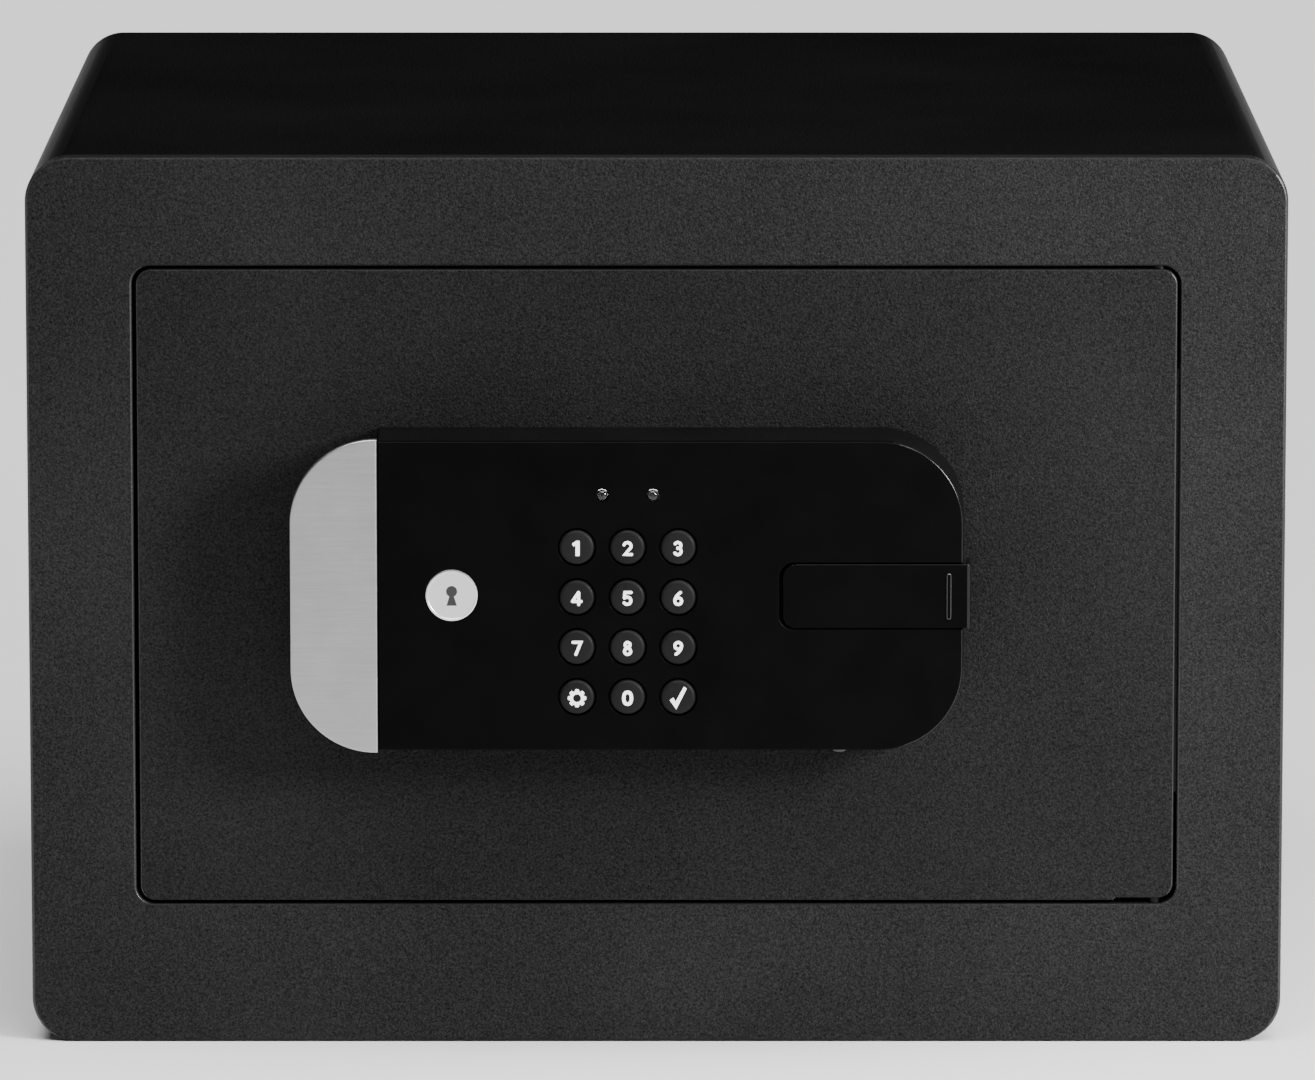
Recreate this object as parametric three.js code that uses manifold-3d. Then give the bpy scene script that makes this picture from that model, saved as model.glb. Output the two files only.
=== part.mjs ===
// A compact motorised home safe, 350 x 250 x 300 mm: a folded steel body with a flush
// door, a keypad panel with a metal pull grip, two motor-driven locking bolts, and a
// key override behind a sliding cover. Millimetres, +X to the right, +Y to the back,
// +Z up. The origin is the bottom centre of the whole object.
import * as THREE from "three";
import Module from "manifold-3d";
import { mergeVertices } from "three/addons/utils/BufferGeometryUtils.js";

const wasm = await Module();
wasm.setup();
const { Manifold, Mesh: SolidMesh } = wasm;

// ---------------------------------------------------------------- driving dimensions
const WIDTH = 350; // over the body
const HEIGHT = 250;
const DEPTH = 300; // front frame's face to the back edge of the shell
const PANEL_PROUD = 23; // keypad panel's face stands this far off the door
const GRIP_PROUD = 2; // metal grip stands this far off the panel's face
const FRONT = -(DEPTH + PANEL_PROUD + GRIP_PROUD) / 2; // y of the grip's face
const FACE = FRONT + PANEL_PROUD + GRIP_PROUD; // y of the frame's and the door's face
const BACK = FACE + DEPTH;
const CORNER_R = 12.5; // body's corner
const SHELL_T = 2;
const FRAME_T = 6; // front frame and door plate
const EDGE = 0.8; // broken edge of the frame and door

const OPEN_X0 = -145.5; // door opening in the frame
const OPEN_X1 = 145.4;
const OPEN_Z0 = 39.5;
const OPEN_Z1 = 219.6;
const OPEN_R = 5;
const GAP = 0.9; // round the door
const GAP_LOCK = 1.1; // on the lock side

const HINGE_A = 5; // hinge axis in from the door's edge
const HINGE_X = OPEN_X1 - GAP - HINGE_A;
const HINGE_Y = FACE + FRAME_T / 2;
const PIN_R = 1.75;

const PANEL_X0 = -77; // keypad panel
const PANEL_X1 = 85;
const PANEL_Z0 = 87.5;
const PANEL_Z1 = 174;
const PANEL_R = 23;
const PANEL_MID = (PANEL_Z0 + PANEL_Z1) / 2;
const PANEL_WALL = 2.2;
const FACE_T = 2.5; // panel's face plate
const PANEL_Y = FACE - PANEL_PROUD; // y of the panel's face

const GRIP_X0 = -101.2; // metal pull grip
const GRIP_R = 23;
const GRIP_T = 2.4;

const KEY_R = 5;
const KEY_PITCH = 14;
const KEY_X = -22; // first column
const KEY_Z = 144.5; // first row
const LED_R = 1.65;

const BOLT_R = 9;
const BOLT_Z = [88, 172];
const BOLT_Y = FACE + 20.1;
const BOLT_TIP = -139.5; // drawn in
const CARRIAGE_X = -78;

const MODULE = 1; // rack and pinion
const PINION_TEETH = 14;
const PITCH_R = (MODULE * PINION_TEETH) / 2;
const PINION_X = -16;
const PITCH_LINE = 131; // rack's pitch line
const PINION_Z = PITCH_LINE - PITCH_R;
const BACKLASH = 0.3;
const ADDENDUM = 0.8;
const DEDENDUM = 1.2;

const LOCK_X = 58; // override cylinder
const LOCK_Z = 131;

const COVER_BACK = FACE + 49; // inner cover's back face

// ---------------------------------------------------------------- materials
const paint = (color, roughness, metalness) =>
  new THREE.MeshStandardMaterial({ color, roughness, metalness });
const TEXTURED = paint(0x2b2c2d, 0.55, 0.2);
const SMOOTH_BLACK = paint(0x151617, 0.42, 0.2);
const PANEL_BLACK = paint(0x0c0c0d, 0.3, 0);
const KEY_BLACK = paint(0x222223, 0.55, 0);
const BRUSHED = paint(0xb4b5b5, 0.32, 1);
const BADGE = paint(0xd2d2d2, 0.35, 0.6);
const STEEL = paint(0xc9cbcd, 0.18, 1);
const ZINC = paint(0x9fa3a6, 0.4, 0.9);
const BRASS = paint(0xb89a52, 0.35, 1);
const CLEAR = paint(0xe8ecee, 0.05, 0);
const RED = paint(0xb0171b, 0.4, 0);
const BOARD = paint(0x1f5a38, 0.5, 0);
const CARPET = paint(0x2c2d2f, 0.95, 0);
const CELL = paint(0x2d6e8a, 0.35, 0.3);
const WIRE = paint(0x303030, 0.5, 0);
const NYLON = paint(0x3a3b3d, 0.5, 0);

// ---------------------------------------------------------------- shapes and solids
// A geometry as a manifold solid, with its faces out.
function solid(geometry) {
  const flat = geometry.index ? geometry.toNonIndexed() : geometry.clone();
  flat.deleteAttribute("normal");
  flat.deleteAttribute("uv");
  const merged = mergeVertices(flat, 1e-4);
  const v = merged.attributes.position.array;
  const kept = [];
  const index = merged.index.array;
  let six = 0;
  for (let i = 0; i < index.length; i += 3) {
    const [a, b, c] = [index[i], index[i + 1], index[i + 2]];
    if (a === b || b === c || c === a) continue;
    kept.push(a, b, c);
    const [ax, ay, az] = [v[3 * a], v[3 * a + 1], v[3 * a + 2]];
    const [bx, by, bz] = [v[3 * b], v[3 * b + 1], v[3 * b + 2]];
    const [cx, cy, cz] = [v[3 * c], v[3 * c + 1], v[3 * c + 2]];
    six += ax * (by * cz - bz * cy) + ay * (bz * cx - bx * cz) + az * (bx * cy - by * cx);
  }
  if (six < 0)
    for (let i = 0; i < kept.length; i += 3)
      [kept[i + 1], kept[i + 2]] = [kept[i + 2], kept[i + 1]];
  return new Manifold(
    new SolidMesh({
      numProp: 3,
      vertProperties: new Float32Array(v),
      triVerts: new Uint32Array(kept),
    }),
  );
}

// A manifold solid as a geometry.
function geometryOf(made) {
  const mesh = made.getMesh();
  const n = mesh.numProp;
  const position = new Float32Array(mesh.numVert * 3);
  for (let i = 0; i < mesh.numVert; i++)
    position.set(mesh.vertProperties.subarray(i * n, i * n + 3), i * 3);
  const geometry = new THREE.BufferGeometry();
  geometry.setAttribute("position", new THREE.BufferAttribute(position, 3));
  geometry.setIndex(new THREE.BufferAttribute(new Uint32Array(mesh.triVerts), 1));
  geometry.computeVertexNormals();
  return geometry;
}

// Points of a rounded rectangle in x and z. r is one radius or [low left, low right, high right, high left].
function roundedPoints(x0, z0, x1, z1, r = 0, segments = 8) {
  const radii = Array.isArray(r) ? r : [r, r, r, r];
  const corners = [
    [x0 + radii[0], z0 + radii[0], radii[0], Math.PI],
    [x1 - radii[1], z0 + radii[1], radii[1], 1.5 * Math.PI],
    [x1 - radii[2], z1 - radii[2], radii[2], 0],
    [x0 + radii[3], z1 - radii[3], radii[3], 0.5 * Math.PI],
  ];
  const points = [];
  for (const [cx, cz, radius, start] of corners) {
    if (radius <= 0) {
      points.push(new THREE.Vector2(cx, cz));
      continue;
    }
    const n = radius < 1 ? 1 : segments;
    for (let i = 0; i <= n; i++) {
      const a = start + (i / n) * (Math.PI / 2);
      points.push(new THREE.Vector2(cx + radius * Math.cos(a), cz + radius * Math.sin(a)));
    }
  }
  return points;
}

function circlePoints(cx, cz, r, segments = 24) {
  const points = [];
  for (let i = 0; i < segments; i++) {
    const a = (i / segments) * 2 * Math.PI;
    points.push(new THREE.Vector2(cx + r * Math.cos(a), cz + r * Math.sin(a)));
  }
  return points;
}

// A plate that stands in the x-z plane from y0 to y1, with an optional broken edge.
function plate(points, y0, y1, { holes = [], edge = 0, edgeSegments = 1 } = {}) {
  const shape = new THREE.Shape(points);
  for (const hole of holes) shape.holes.push(new THREE.Path(hole));
  const geometry = new THREE.ExtrudeGeometry(shape, {
    depth: y1 - y0 - 2 * edge,
    steps: 1,
    bevelEnabled: edge > 0,
    bevelThickness: edge,
    bevelSize: edge,
    bevelOffset: -edge,
    bevelSegments: edgeSegments,
  });
  geometry.translate(0, 0, edge);
  geometry.rotateX(Math.PI / 2);
  geometry.translate(0, y1, 0);
  return geometry;
}

// A slab in the y-z plane from x0 to x1: points are (y, z).
function slabX(points, x0, x1) {
  const geometry = new THREE.ExtrudeGeometry(new THREE.Shape(points), {
    depth: x1 - x0,
    bevelEnabled: false,
  });
  geometry.applyMatrix4(
    new THREE.Matrix4().set(0, 0, 1, x0, 1, 0, 0, 0, 0, 1, 0, 0, 0, 0, 0, 1),
  );
  return geometry;
}

function box(x0, y0, z0, x1, y1, z1) {
  const geometry = new THREE.BoxGeometry(x1 - x0, y1 - y0, z1 - z0);
  geometry.translate((x0 + x1) / 2, (y0 + y1) / 2, (z0 + z1) / 2);
  return geometry;
}

// A round bar between two coordinates along "x", "y" or "z", centred on the other two.
function bar(axis, r, from, to, c1, c2, segments = 24) {
  const geometry = new THREE.CylinderGeometry(r, r, to - from, segments);
  const mid = (from + to) / 2;
  if (axis === "x") {
    geometry.rotateZ(Math.PI / 2);
    geometry.translate(mid, c1, c2);
  } else if (axis === "y") geometry.translate(c1, mid, c2);
  else {
    geometry.rotateX(Math.PI / 2);
    geometry.translate(c1, c2, mid);
  }
  return geometry;
}

// A turned piece about the y axis, from [radius, y] pairs that start and end on the axis.
function turned(profile, segments = 20) {
  return new THREE.LatheGeometry(
    profile.map(([r, y]) => new THREE.Vector2(r, y)),
    segments,
  );
}

const join = (...parts) =>
  parts.map((p) => (p.isBufferGeometry ? solid(p) : p)).reduce((a, b) => a.add(b));
const cut = (from, ...tools) =>
  tools
    .map((p) => (p.isBufferGeometry ? solid(p) : p))
    .reduce((a, b) => a.subtract(b), from.isBufferGeometry ? solid(from) : from);

const safe = new THREE.Group();
safe.name = "safe";
function group(name, parent = safe) {
  const made = new THREE.Group();
  made.name = name;
  parent.add(made);
  return made;
}
function piece(parent, name, shape, material, x = 0, y = 0, z = 0) {
  const geometry = shape.isBufferGeometry ? geometryOf(solid(shape)) : geometryOf(shape);
  const mesh = new THREE.Mesh(geometry, material);
  mesh.name = name;
  mesh.position.set(x, y, z);
  parent.add(mesh);
  return mesh;
}

// ---------------------------------------------------------------- body
const body = group("body");

// Folded wrap: floor, sides and roof in one, with two anchor holes in the floor.
const ANCHOR_R = 6;
const ANCHOR_X = 105;
const shellHoles = [roundedPoints(
  -WIDTH / 2 + SHELL_T, SHELL_T, WIDTH / 2 - SHELL_T, HEIGHT - SHELL_T, CORNER_R - SHELL_T, 8,
)];
piece(
  body,
  "body_shell",
  cut(
    plate(
      roundedPoints(-WIDTH / 2, 0, WIDTH / 2, HEIGHT, CORNER_R, 10),
      FACE + FRAME_T + 0.2,
      BACK,
      { holes: shellHoles },
    ),
    bar("z", ANCHOR_R, -1, SHELL_T + 1, -ANCHOR_X, 20, 24),
    bar("z", ANCHOR_R, -1, SHELL_T + 1, ANCHOR_X, 20, 24),
  ),
  SMOOTH_BLACK,
);

// Back plate, flush inside the wrap, with two anchor holes to a wall.
const BACK_T = 2;
const BACK_HOLE_Z = 190;
piece(
  body,
  "back_panel",
  plate(
    roundedPoints(
      -WIDTH / 2 + SHELL_T + 0.3, SHELL_T + 0.3, WIDTH / 2 - SHELL_T - 0.3, HEIGHT - SHELL_T - 0.3,
      CORNER_R - SHELL_T - 0.3, 6,
    ),
    BACK - BACK_T,
    BACK,
    {
      holes: [
        circlePoints(-ANCHOR_X, BACK_HOLE_Z, ANCHOR_R, 24),
        circlePoints(ANCHOR_X, BACK_HOLE_Z, ANCHOR_R, 24),
      ],
    },
  ),
  SMOOTH_BLACK,
);

// Front frame with the door opening, drilled top and bottom for the hinge pins.
const PIN_TOP = [OPEN_Z1 - 8, OPEN_Z1 + 7];
const PIN_LOW = [OPEN_Z0 - 7, OPEN_Z0 + 8];
piece(
  body,
  "front_frame",
  cut(
    plate(
      roundedPoints(-WIDTH / 2, 0, WIDTH / 2, HEIGHT, CORNER_R, 10),
      FACE,
      FACE + FRAME_T,
      { holes: [roundedPoints(OPEN_X0, OPEN_Z0, OPEN_X1, OPEN_Z1, OPEN_R, 6)], edge: EDGE, edgeSegments: 2 },
    ),
    bar("z", PIN_R + 0.15, OPEN_Z1 - 1, PIN_TOP[1] + 0.3, HINGE_X, HINGE_Y, 20),
    bar("z", PIN_R + 0.15, PIN_LOW[0] - 0.3, OPEN_Z0 + 1, HINGE_X, HINGE_Y, 20),
  ),
  TEXTURED,
);
piece(body, "hinge_pin_top", bar("z", PIN_R, PIN_TOP[0], PIN_TOP[1], 0, 0, 20), STEEL, HINGE_X, HINGE_Y, 0);
piece(body, "hinge_pin_bottom", bar("z", PIN_R, PIN_LOW[0], PIN_LOW[1], 0, 0, 20), STEEL, HINGE_X, HINGE_Y, 0);

// Bar welded behind the frame on the lock side, which the bolts slide behind.
const WELD_Y = FACE + FRAME_T + 0.2;
piece(body, "keeper_bar", plate(roundedPoints(-171, 58, -147, 202, 2, 3), WELD_Y, WELD_Y + 4), SMOOTH_BLACK);

// Strips behind the opening's top and bottom edges, which stop the door flush.
const STOP_LAP = 4;
piece(body, "door_stop_top",
  plate(roundedPoints(-124, OPEN_Z1 - STOP_LAP, 118, OPEN_Z1 + 9.5, 1, 2), WELD_Y, WELD_Y + 3), SMOOTH_BLACK);
piece(body, "door_stop_bottom",
  plate(roundedPoints(-124, OPEN_Z0 - 9.5, 118, OPEN_Z0 + STOP_LAP, 1, 2), WELD_Y, WELD_Y + 3), SMOOTH_BLACK);

// Carpet on the floor, cut out over the anchor holes.
const MAT = { x: 160, y0: FACE + 14, y1: BACK - 6, z0: SHELL_T + 0.2, t: 2.5 };
const mat = new THREE.Shape(roundedPoints(-MAT.x, MAT.y0, MAT.x, MAT.y1, 6, 4));
mat.holes.push(
  new THREE.Path(circlePoints(-ANCHOR_X, 20, ANCHOR_R + 1.5, 20)),
  new THREE.Path(circlePoints(ANCHOR_X, 20, ANCHOR_R + 1.5, 20)),
);
const matSolid = new THREE.ExtrudeGeometry(mat, { depth: MAT.t, bevelEnabled: false });
matSolid.translate(0, 0, MAT.z0);
piece(body, "floor_mat", matSolid, CARPET);

// ---------------------------------------------------------------- door
const door = group("door");
const DOOR_X0 = OPEN_X0 + GAP_LOCK;
const DOOR_X1 = OPEN_X1 - GAP;
const DOOR_Z0 = OPEN_Z0 + GAP;
const DOOR_Z1 = OPEN_Z1 - GAP;
const DOOR_BACK = FACE + FRAME_T;
const WIRE_X = 8;
const WIRE_Z = 158;
const SCREW_X = [-71.6, 79.4];
const SCREW_Z = [PANEL_MID, 108];
const COVER_SCREWS = [[-104, 50], [104, 50], [-104, 209], [104, 209]];
piece(
  door,
  "door_plate",
  cut(
    plate(roundedPoints(DOOR_X0, DOOR_Z0, DOOR_X1, DOOR_Z1, 4.2, 6), FACE, DOOR_BACK, {
      holes: [
        circlePoints(LOCK_X, LOCK_Z, 8.4, 28),
        circlePoints(WIRE_X, WIRE_Z, 5, 20),
        circlePoints(SCREW_X[0], SCREW_Z[0], 2.3, 16),
        circlePoints(SCREW_X[1], SCREW_Z[1], 2.3, 16),
      ],
      edge: EDGE,
      edgeSegments: 2,
    }),
    // Relief along the low edge at the hinge corner.
    box(DOOR_X1 - 16.5, FACE - 1, DOOR_Z0 - 1, DOOR_X1 + 1, DOOR_BACK + 1, DOOR_Z0 + 0.7),
    // Pin holes.
    bar("z", PIN_R + 0.3, PIN_TOP[0] - 0.5, DOOR_Z1 + 1, HINGE_X, HINGE_Y, 20),
    bar("z", PIN_R + 0.3, DOOR_Z0 - 1, PIN_LOW[1] + 0.5, HINGE_X, HINGE_Y, 20),
    // Blind holes for the inner cover's screws.
    ...COVER_SCREWS.map(([x, z]) => bar("y", 2.0, DOOR_BACK - 4, DOOR_BACK + 1, x, z, 14)),
  ),
  TEXTURED,
);

// Fixed bar that hooks behind the frame on the hinge side when the door is shut.
piece(door, "dog_bar", plate(roundedPoints(122, 70, 150.5, 190, 2, 3), DOOR_BACK + 0.3, DOOR_BACK + 5.3), SMOOTH_BLACK);

// ---------------------------------------------------------------- keypad panel
const panel = group("panel", door);
const HOUSE_BACK = FACE - 0.2;
const HOUSE_FRONT = PANEL_Y + FACE_T + 0.1;
const GRIP_BACK = PANEL_Y - GRIP_PROUD + GRIP_T;
const panelOutline = (inset, seg = 10) =>
  roundedPoints(
    PANEL_X0 + inset, PANEL_Z0 + inset, PANEL_X1 - inset, PANEL_Z1 - inset,
    [Math.max(2 - inset, 0.5), PANEL_R - inset, PANEL_R - inset, Math.max(2 - inset, 0.5)], seg,
  );
piece(
  panel,
  "panel_housing",
  cut(
    join(
      plate(panelOutline(0), HOUSE_FRONT, HOUSE_BACK, { holes: [panelOutline(PANEL_WALL, 8)] }),
      // Shelf that backs the metal grip, and its root; the fingers go behind it.
      plate(
        roundedPoints(GRIP_X0 + 0.9, PANEL_Z0 + 0.5, PANEL_X0 - 0.1, PANEL_Z1 - 0.5,
          [GRIP_R - 0.9, 0, 0, GRIP_R - 0.9], 8),
        GRIP_BACK + 0.2, PANEL_Y + 5,
      ),
      box(PANEL_X0 - 4, HOUSE_FRONT, PANEL_Z0 + 2, PANEL_X0 + 1, PANEL_Y + 5, PANEL_Z1 - 2),
      bar("y", 4.2, HOUSE_FRONT, HOUSE_BACK, SCREW_X[0], SCREW_Z[0], 18),
      bar("y", 4.2, HOUSE_FRONT, HOUSE_BACK, SCREW_X[1], SCREW_Z[1], 18),
    ),
    bar("y", 2.1, FACE - 14, HOUSE_BACK + 1, SCREW_X[0], SCREW_Z[0], 14),
    bar("y", 2.1, FACE - 14, HOUSE_BACK + 1, SCREW_X[1], SCREW_Z[1], 14),
    // Slot in the end wall that the override cover slides out through.
    box(PANEL_X1 - PANEL_WALL - 1, HOUSE_FRONT - 1, PANEL_MID - 10.4, PANEL_X1 + 1, PANEL_Y + 4.2, PANEL_MID + 10.4),
    // Hole in the underside for the face's fixing screw.
    bar("z", 1.5, PANEL_Z0 - 1, PANEL_Z0 + 3, 50.7, PANEL_Y + 5.6, 12),
  ),
  PANEL_BLACK,
);

// Face plate with the key holes and the channel that the override cover slides in.
const SLIDE_Z = PANEL_MID;
const SLIDE_HALF = 8.9;
const SLIDE_X0 = 35;
const keyHoles = [];
for (let row = 0; row < 4; row++)
  for (let column = 0; column < 3; column++)
    keyHoles.push(circlePoints(KEY_X + column * KEY_PITCH, KEY_Z - row * KEY_PITCH, KEY_R + 0.4, 24));
const LED_AT = [[-15, 159], [-1, 159]];
piece(
  panel,
  "panel_face",
  cut(
    join(
      plate(panelOutline(0.05), PANEL_Y, PANEL_Y + FACE_T, {
        holes: [...keyHoles, ...LED_AT.map(([x, z]) => circlePoints(x, z, LED_R + 0.15, 16))],
      }),
      box(SLIDE_X0 - 4, PANEL_Y + 1, SLIDE_Z - SLIDE_HALF - 2.9, PANEL_X1 - PANEL_WALL - 0.4, PANEL_Y + 5.6, SLIDE_Z + SLIDE_HALF + 2.9),
    ),
    // Channel, its side grooves, and the cylinder's hole in its floor.
    plate(roundedPoints(SLIDE_X0 - 0.8, SLIDE_Z - SLIDE_HALF - 0.4, PANEL_X1 + 5, SLIDE_Z + SLIDE_HALF + 0.4, [3.4, 0, 0, 3.4], 5), PANEL_Y - 1, PANEL_Y + 4),
    box(SLIDE_X0 + 1, PANEL_Y + 2.1, SLIDE_Z - SLIDE_HALF - 1.5, PANEL_X1 + 5, PANEL_Y + 4, SLIDE_Z + SLIDE_HALF + 1.5),
    bar("y", 8.3, PANEL_Y, PANEL_Y + 8, LOCK_X, LOCK_Z, 28),
    bar("y", 7.4, PANEL_Y - 1, PANEL_Y + 0.7, -56.6, PANEL_MID + 0.3, 32),
  ),
  PANEL_BLACK,
);

// Brushed metal pull grip on the free end of the panel.
piece(
  panel,
  "grip_plate",
  plate(
    roundedPoints(GRIP_X0, PANEL_Z0 - 0.4, PANEL_X0 - 0.15, PANEL_Z1 + 0.8, [GRIP_R, 0, 0, GRIP_R], 12),
    PANEL_Y - GRIP_PROUD, GRIP_BACK, { edge: 0.3 },
  ),
  BRUSHED,
);

// Blank round badge let into the face.
piece(panel, "badge_disc", turned([[0, -0.3], [7.0, -0.3], [7.2, -0.1], [7.2, 0.6], [0, 0.6]], 32), BADGE, -56.6, PANEL_Y, PANEL_MID + 0.3);

for (const [i, side] of ["left", "right"].entries())
  piece(
    panel,
    "led_" + side,
    turned([[0, -0.9], [0.8, -0.7], [1.35, -0.2], [LED_R, 0.4], [LED_R, 5], [2.1, 5], [2.1, 6], [LED_R, 6], [LED_R, 8.1], [0, 8.1]], 16),
    CLEAR, LED_AT[i][0], PANEL_Y, LED_AT[i][1],
  );

// Board behind the keys.
const BOARD_Y = PANEL_Y + 8.3;
piece(panel, "keypad_board", plate(roundedPoints(-31, 93, 15, 168, 2, 2), BOARD_Y, BOARD_Y + 1.6), BOARD);

// Keys: cap, retaining flange and stem.
const keyShape = () =>
  turned([
    [0, -0.75], [3.6, -0.8], [4.6, -0.75], [KEY_R, -0.35], [KEY_R, 3.0],
    [6, 3.0], [6, 4.2], [2.2, 4.2], [2.2, 7.0], [0, 7.0],
  ], 20);
const KEY_NAMES = ["1", "2", "3", "4", "5", "6", "7", "8", "9", "settings", "0", "enter"];
const keys = group("keys", panel);
KEY_NAMES.forEach((name, i) =>
  piece(keys, "key_" + name, keyShape(), KEY_BLACK,
    KEY_X + (i % 3) * KEY_PITCH, PANEL_Y, KEY_Z - Math.floor(i / 3) * KEY_PITCH),
);

// Sliding cover over the override lock, with a thumb rib and a turned-down end.
piece(
  panel,
  "override_cover",
  join(
    plate(roundedPoints(SLIDE_X0, SLIDE_Z - SLIDE_HALF, PANEL_X1 + 1.9, SLIDE_Z + SLIDE_HALF, [3, 0.3, 0.3, 3], 5), PANEL_Y - 0.2, PANEL_Y + 2.4),
    box(SLIDE_X0 + 2, PANEL_Y + 2.4 - 0.1, SLIDE_Z - SLIDE_HALF - 1, PANEL_X1 - 0.5, PANEL_Y + 3.6, SLIDE_Z + SLIDE_HALF + 1),
    box(PANEL_X1 + 0.4, PANEL_Y + 2, SLIDE_Z - SLIDE_HALF, PANEL_X1 + 1.9, PANEL_Y + 12, SLIDE_Z + SLIDE_HALF),
    box(79.9, PANEL_Y - 0.7, SLIDE_Z - 6.5, 81.7, PANEL_Y, SLIDE_Z + 6.5),
  ),
  PANEL_BLACK,
);

// Screws: one in the panel's underside, two that hold the panel from inside the door.
piece(
  panel,
  "underside_screw",
  (() => {
    const g = turned([[0, -1.7], [1.6, -1.6], [2.4, -0.9], [2.4, -0.1], [1.25, -0.1], [1.25, 5], [0, 5]], 16);
    g.rotateX(Math.PI / 2);
    return g;
  })(),
  STEEL, 50.7, PANEL_Y + 5.6, PANEL_Z0,
);
const screwShape = (length, head = 3.6, shank = 1.8) =>
  turned([[0, -length], [shank, -length], [shank, 0.15], [head, 0.15], [head, 1.4], [head * 0.7, 2.3], [0, 2.5]], 16);
for (const [i, side] of ["left", "right"].entries())
  piece(panel, "panel_screw_" + side, screwShape(18), ZINC, SCREW_X[i], DOOR_BACK, SCREW_Z[i]);

// ---------------------------------------------------------------- override lock
const lock = group("override_lock", door);
piece(
  lock,
  "lock_cylinder",
  cut(
    bar("y", 8, PANEL_Y + 4.2, FACE + 18, LOCK_X, LOCK_Z, 28),
    bar("y", 6, PANEL_Y + 3, FACE + 19, LOCK_X, LOCK_Z, 24),
  ),
  BRASS,
);
piece(
  lock,
  "lock_plug",
  cut(
    join(
      bar("y", 5.7, PANEL_Y + 4.4, FACE + 17.5, 0, 0, 24),
      bar("y", 2.4, FACE + 17, FACE + 24.5, 0, 0, 16),
    ),
    box(-0.9, PANEL_Y, -4.2, 0.9, PANEL_Y + 26, 4.2),
  ),
  BRASS, LOCK_X, 0, LOCK_Z,
);
piece(
  lock,
  "lock_cam",
  cut(
    plate(roundedPoints(-5, -5, 5, 15, [5, 5, 4, 4], 5), FACE + 19, FACE + 22.5),
    bar("y", 2.6, FACE + 18, FACE + 24, 0, 0, 16),
  ),
  ZINC, LOCK_X, 0, LOCK_Z,
);
piece(
  lock,
  "cylinder_nut",
  cut(
    bar("y", 11.5, DOOR_BACK + 0.2, DOOR_BACK + 4.2, LOCK_X, LOCK_Z, 6),
    bar("y", 8.25, DOOR_BACK - 1, DOOR_BACK + 6, LOCK_X, LOCK_Z, 28),
  ),
  ZINC,
);

// ---------------------------------------------------------------- bolt work
const boltwork = group("boltwork", door);
const boltShape = () => {
  const g = turned([[0, 0], [BOLT_R - 1.5, 0], [BOLT_R, 1.5], [BOLT_R, 61.4], [0, 61.4]], 28);
  g.rotateZ(-Math.PI / 2); // from +y to +x
  return g;
};
["lower", "upper"].forEach((name, i) => {
  piece(boltwork, "locking_bolt_" + name, boltShape(), STEEL, BOLT_TIP, BOLT_Y, BOLT_Z[i]);
  piece(
    boltwork,
    "bolt_guide_" + name,
    cut(
      box(-6, DOOR_BACK + 0.2 - BOLT_Y, -13, 6, BOLT_R + 4, 13),
      bar("x", BOLT_R + 0.4, -7, 7, 0, 0, 28),
    ),
    ZINC, -127, BOLT_Y, BOLT_Z[i],
  );
});

// Carriage: an upright that carries both bolts, and an arm with the rack.
const RACK_Y = [BOLT_Y - 2, BOLT_Y + 4];
const RACK_X0 = PINION_X - 7;
const RACK_X1 = PINION_X + 24;
const pitch = Math.PI * MODULE;
const slope = Math.tan((20 * Math.PI) / 180);
const rackTop = PITCH_LINE + 10.5;
const rackPoints = [new THREE.Vector2(CARRIAGE_X + 1, rackTop), new THREE.Vector2(CARRIAGE_X + 1, PITCH_LINE + DEDENDUM)];
for (let k = Math.ceil((RACK_X0 + 2 - PINION_X) / pitch); PINION_X + k * pitch < RACK_X1 - 1.5; k++) {
  const c = PINION_X + k * pitch; // a rack tooth's centre
  const half = pitch / 4 - BACKLASH / 4;
  rackPoints.push(
    new THREE.Vector2(c - half - DEDENDUM * slope, PITCH_LINE + DEDENDUM),
    new THREE.Vector2(c - half + ADDENDUM * slope, PITCH_LINE - ADDENDUM),
    new THREE.Vector2(c + half - ADDENDUM * slope, PITCH_LINE - ADDENDUM),
    new THREE.Vector2(c + half + DEDENDUM * slope, PITCH_LINE + DEDENDUM),
  );
}
rackPoints.push(new THREE.Vector2(RACK_X1, PITCH_LINE + DEDENDUM), new THREE.Vector2(RACK_X1, rackTop));
piece(
  boltwork,
  "bolt_carriage",
  join(
    slabX(roundedPoints(BOLT_Y - 8, 76, BOLT_Y + 8, 184, 2, 3), CARRIAGE_X, CARRIAGE_X + 4),
    plate(rackPoints, RACK_Y[0], RACK_Y[1]),
  ),
  ZINC,
);

// Pinion with involute flanks; a space faces the rack.
const baseR = PITCH_R * Math.cos((20 * Math.PI) / 180);
const involute = (r) => (r <= baseR ? 0 : Math.tan(Math.acos(baseR / r)) - Math.acos(baseR / r));
const halfAtPitch = Math.PI / (2 * PINION_TEETH) - BACKLASH / (4 * PITCH_R);
const halfAt = (r) => halfAtPitch + involute(PITCH_R) - involute(r);
const rootR = PITCH_R - DEDENDUM;
const tipR = PITCH_R + ADDENDUM;
const pinionPoints = [];
for (let k = 0; k < PINION_TEETH; k++) {
  const middle = Math.PI / 2 + ((k + 0.5) * 2 * Math.PI) / PINION_TEETH;
  const radii = [rootR, baseR, (baseR + PITCH_R) / 2, PITCH_R, tipR];
  for (const r of radii)
    pinionPoints.push(new THREE.Vector2(r * Math.cos(middle - halfAt(r)), r * Math.sin(middle - halfAt(r))));
  for (const r of radii.reverse())
    pinionPoints.push(new THREE.Vector2(r * Math.cos(middle + halfAt(r)), r * Math.sin(middle + halfAt(r))));
}
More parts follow.
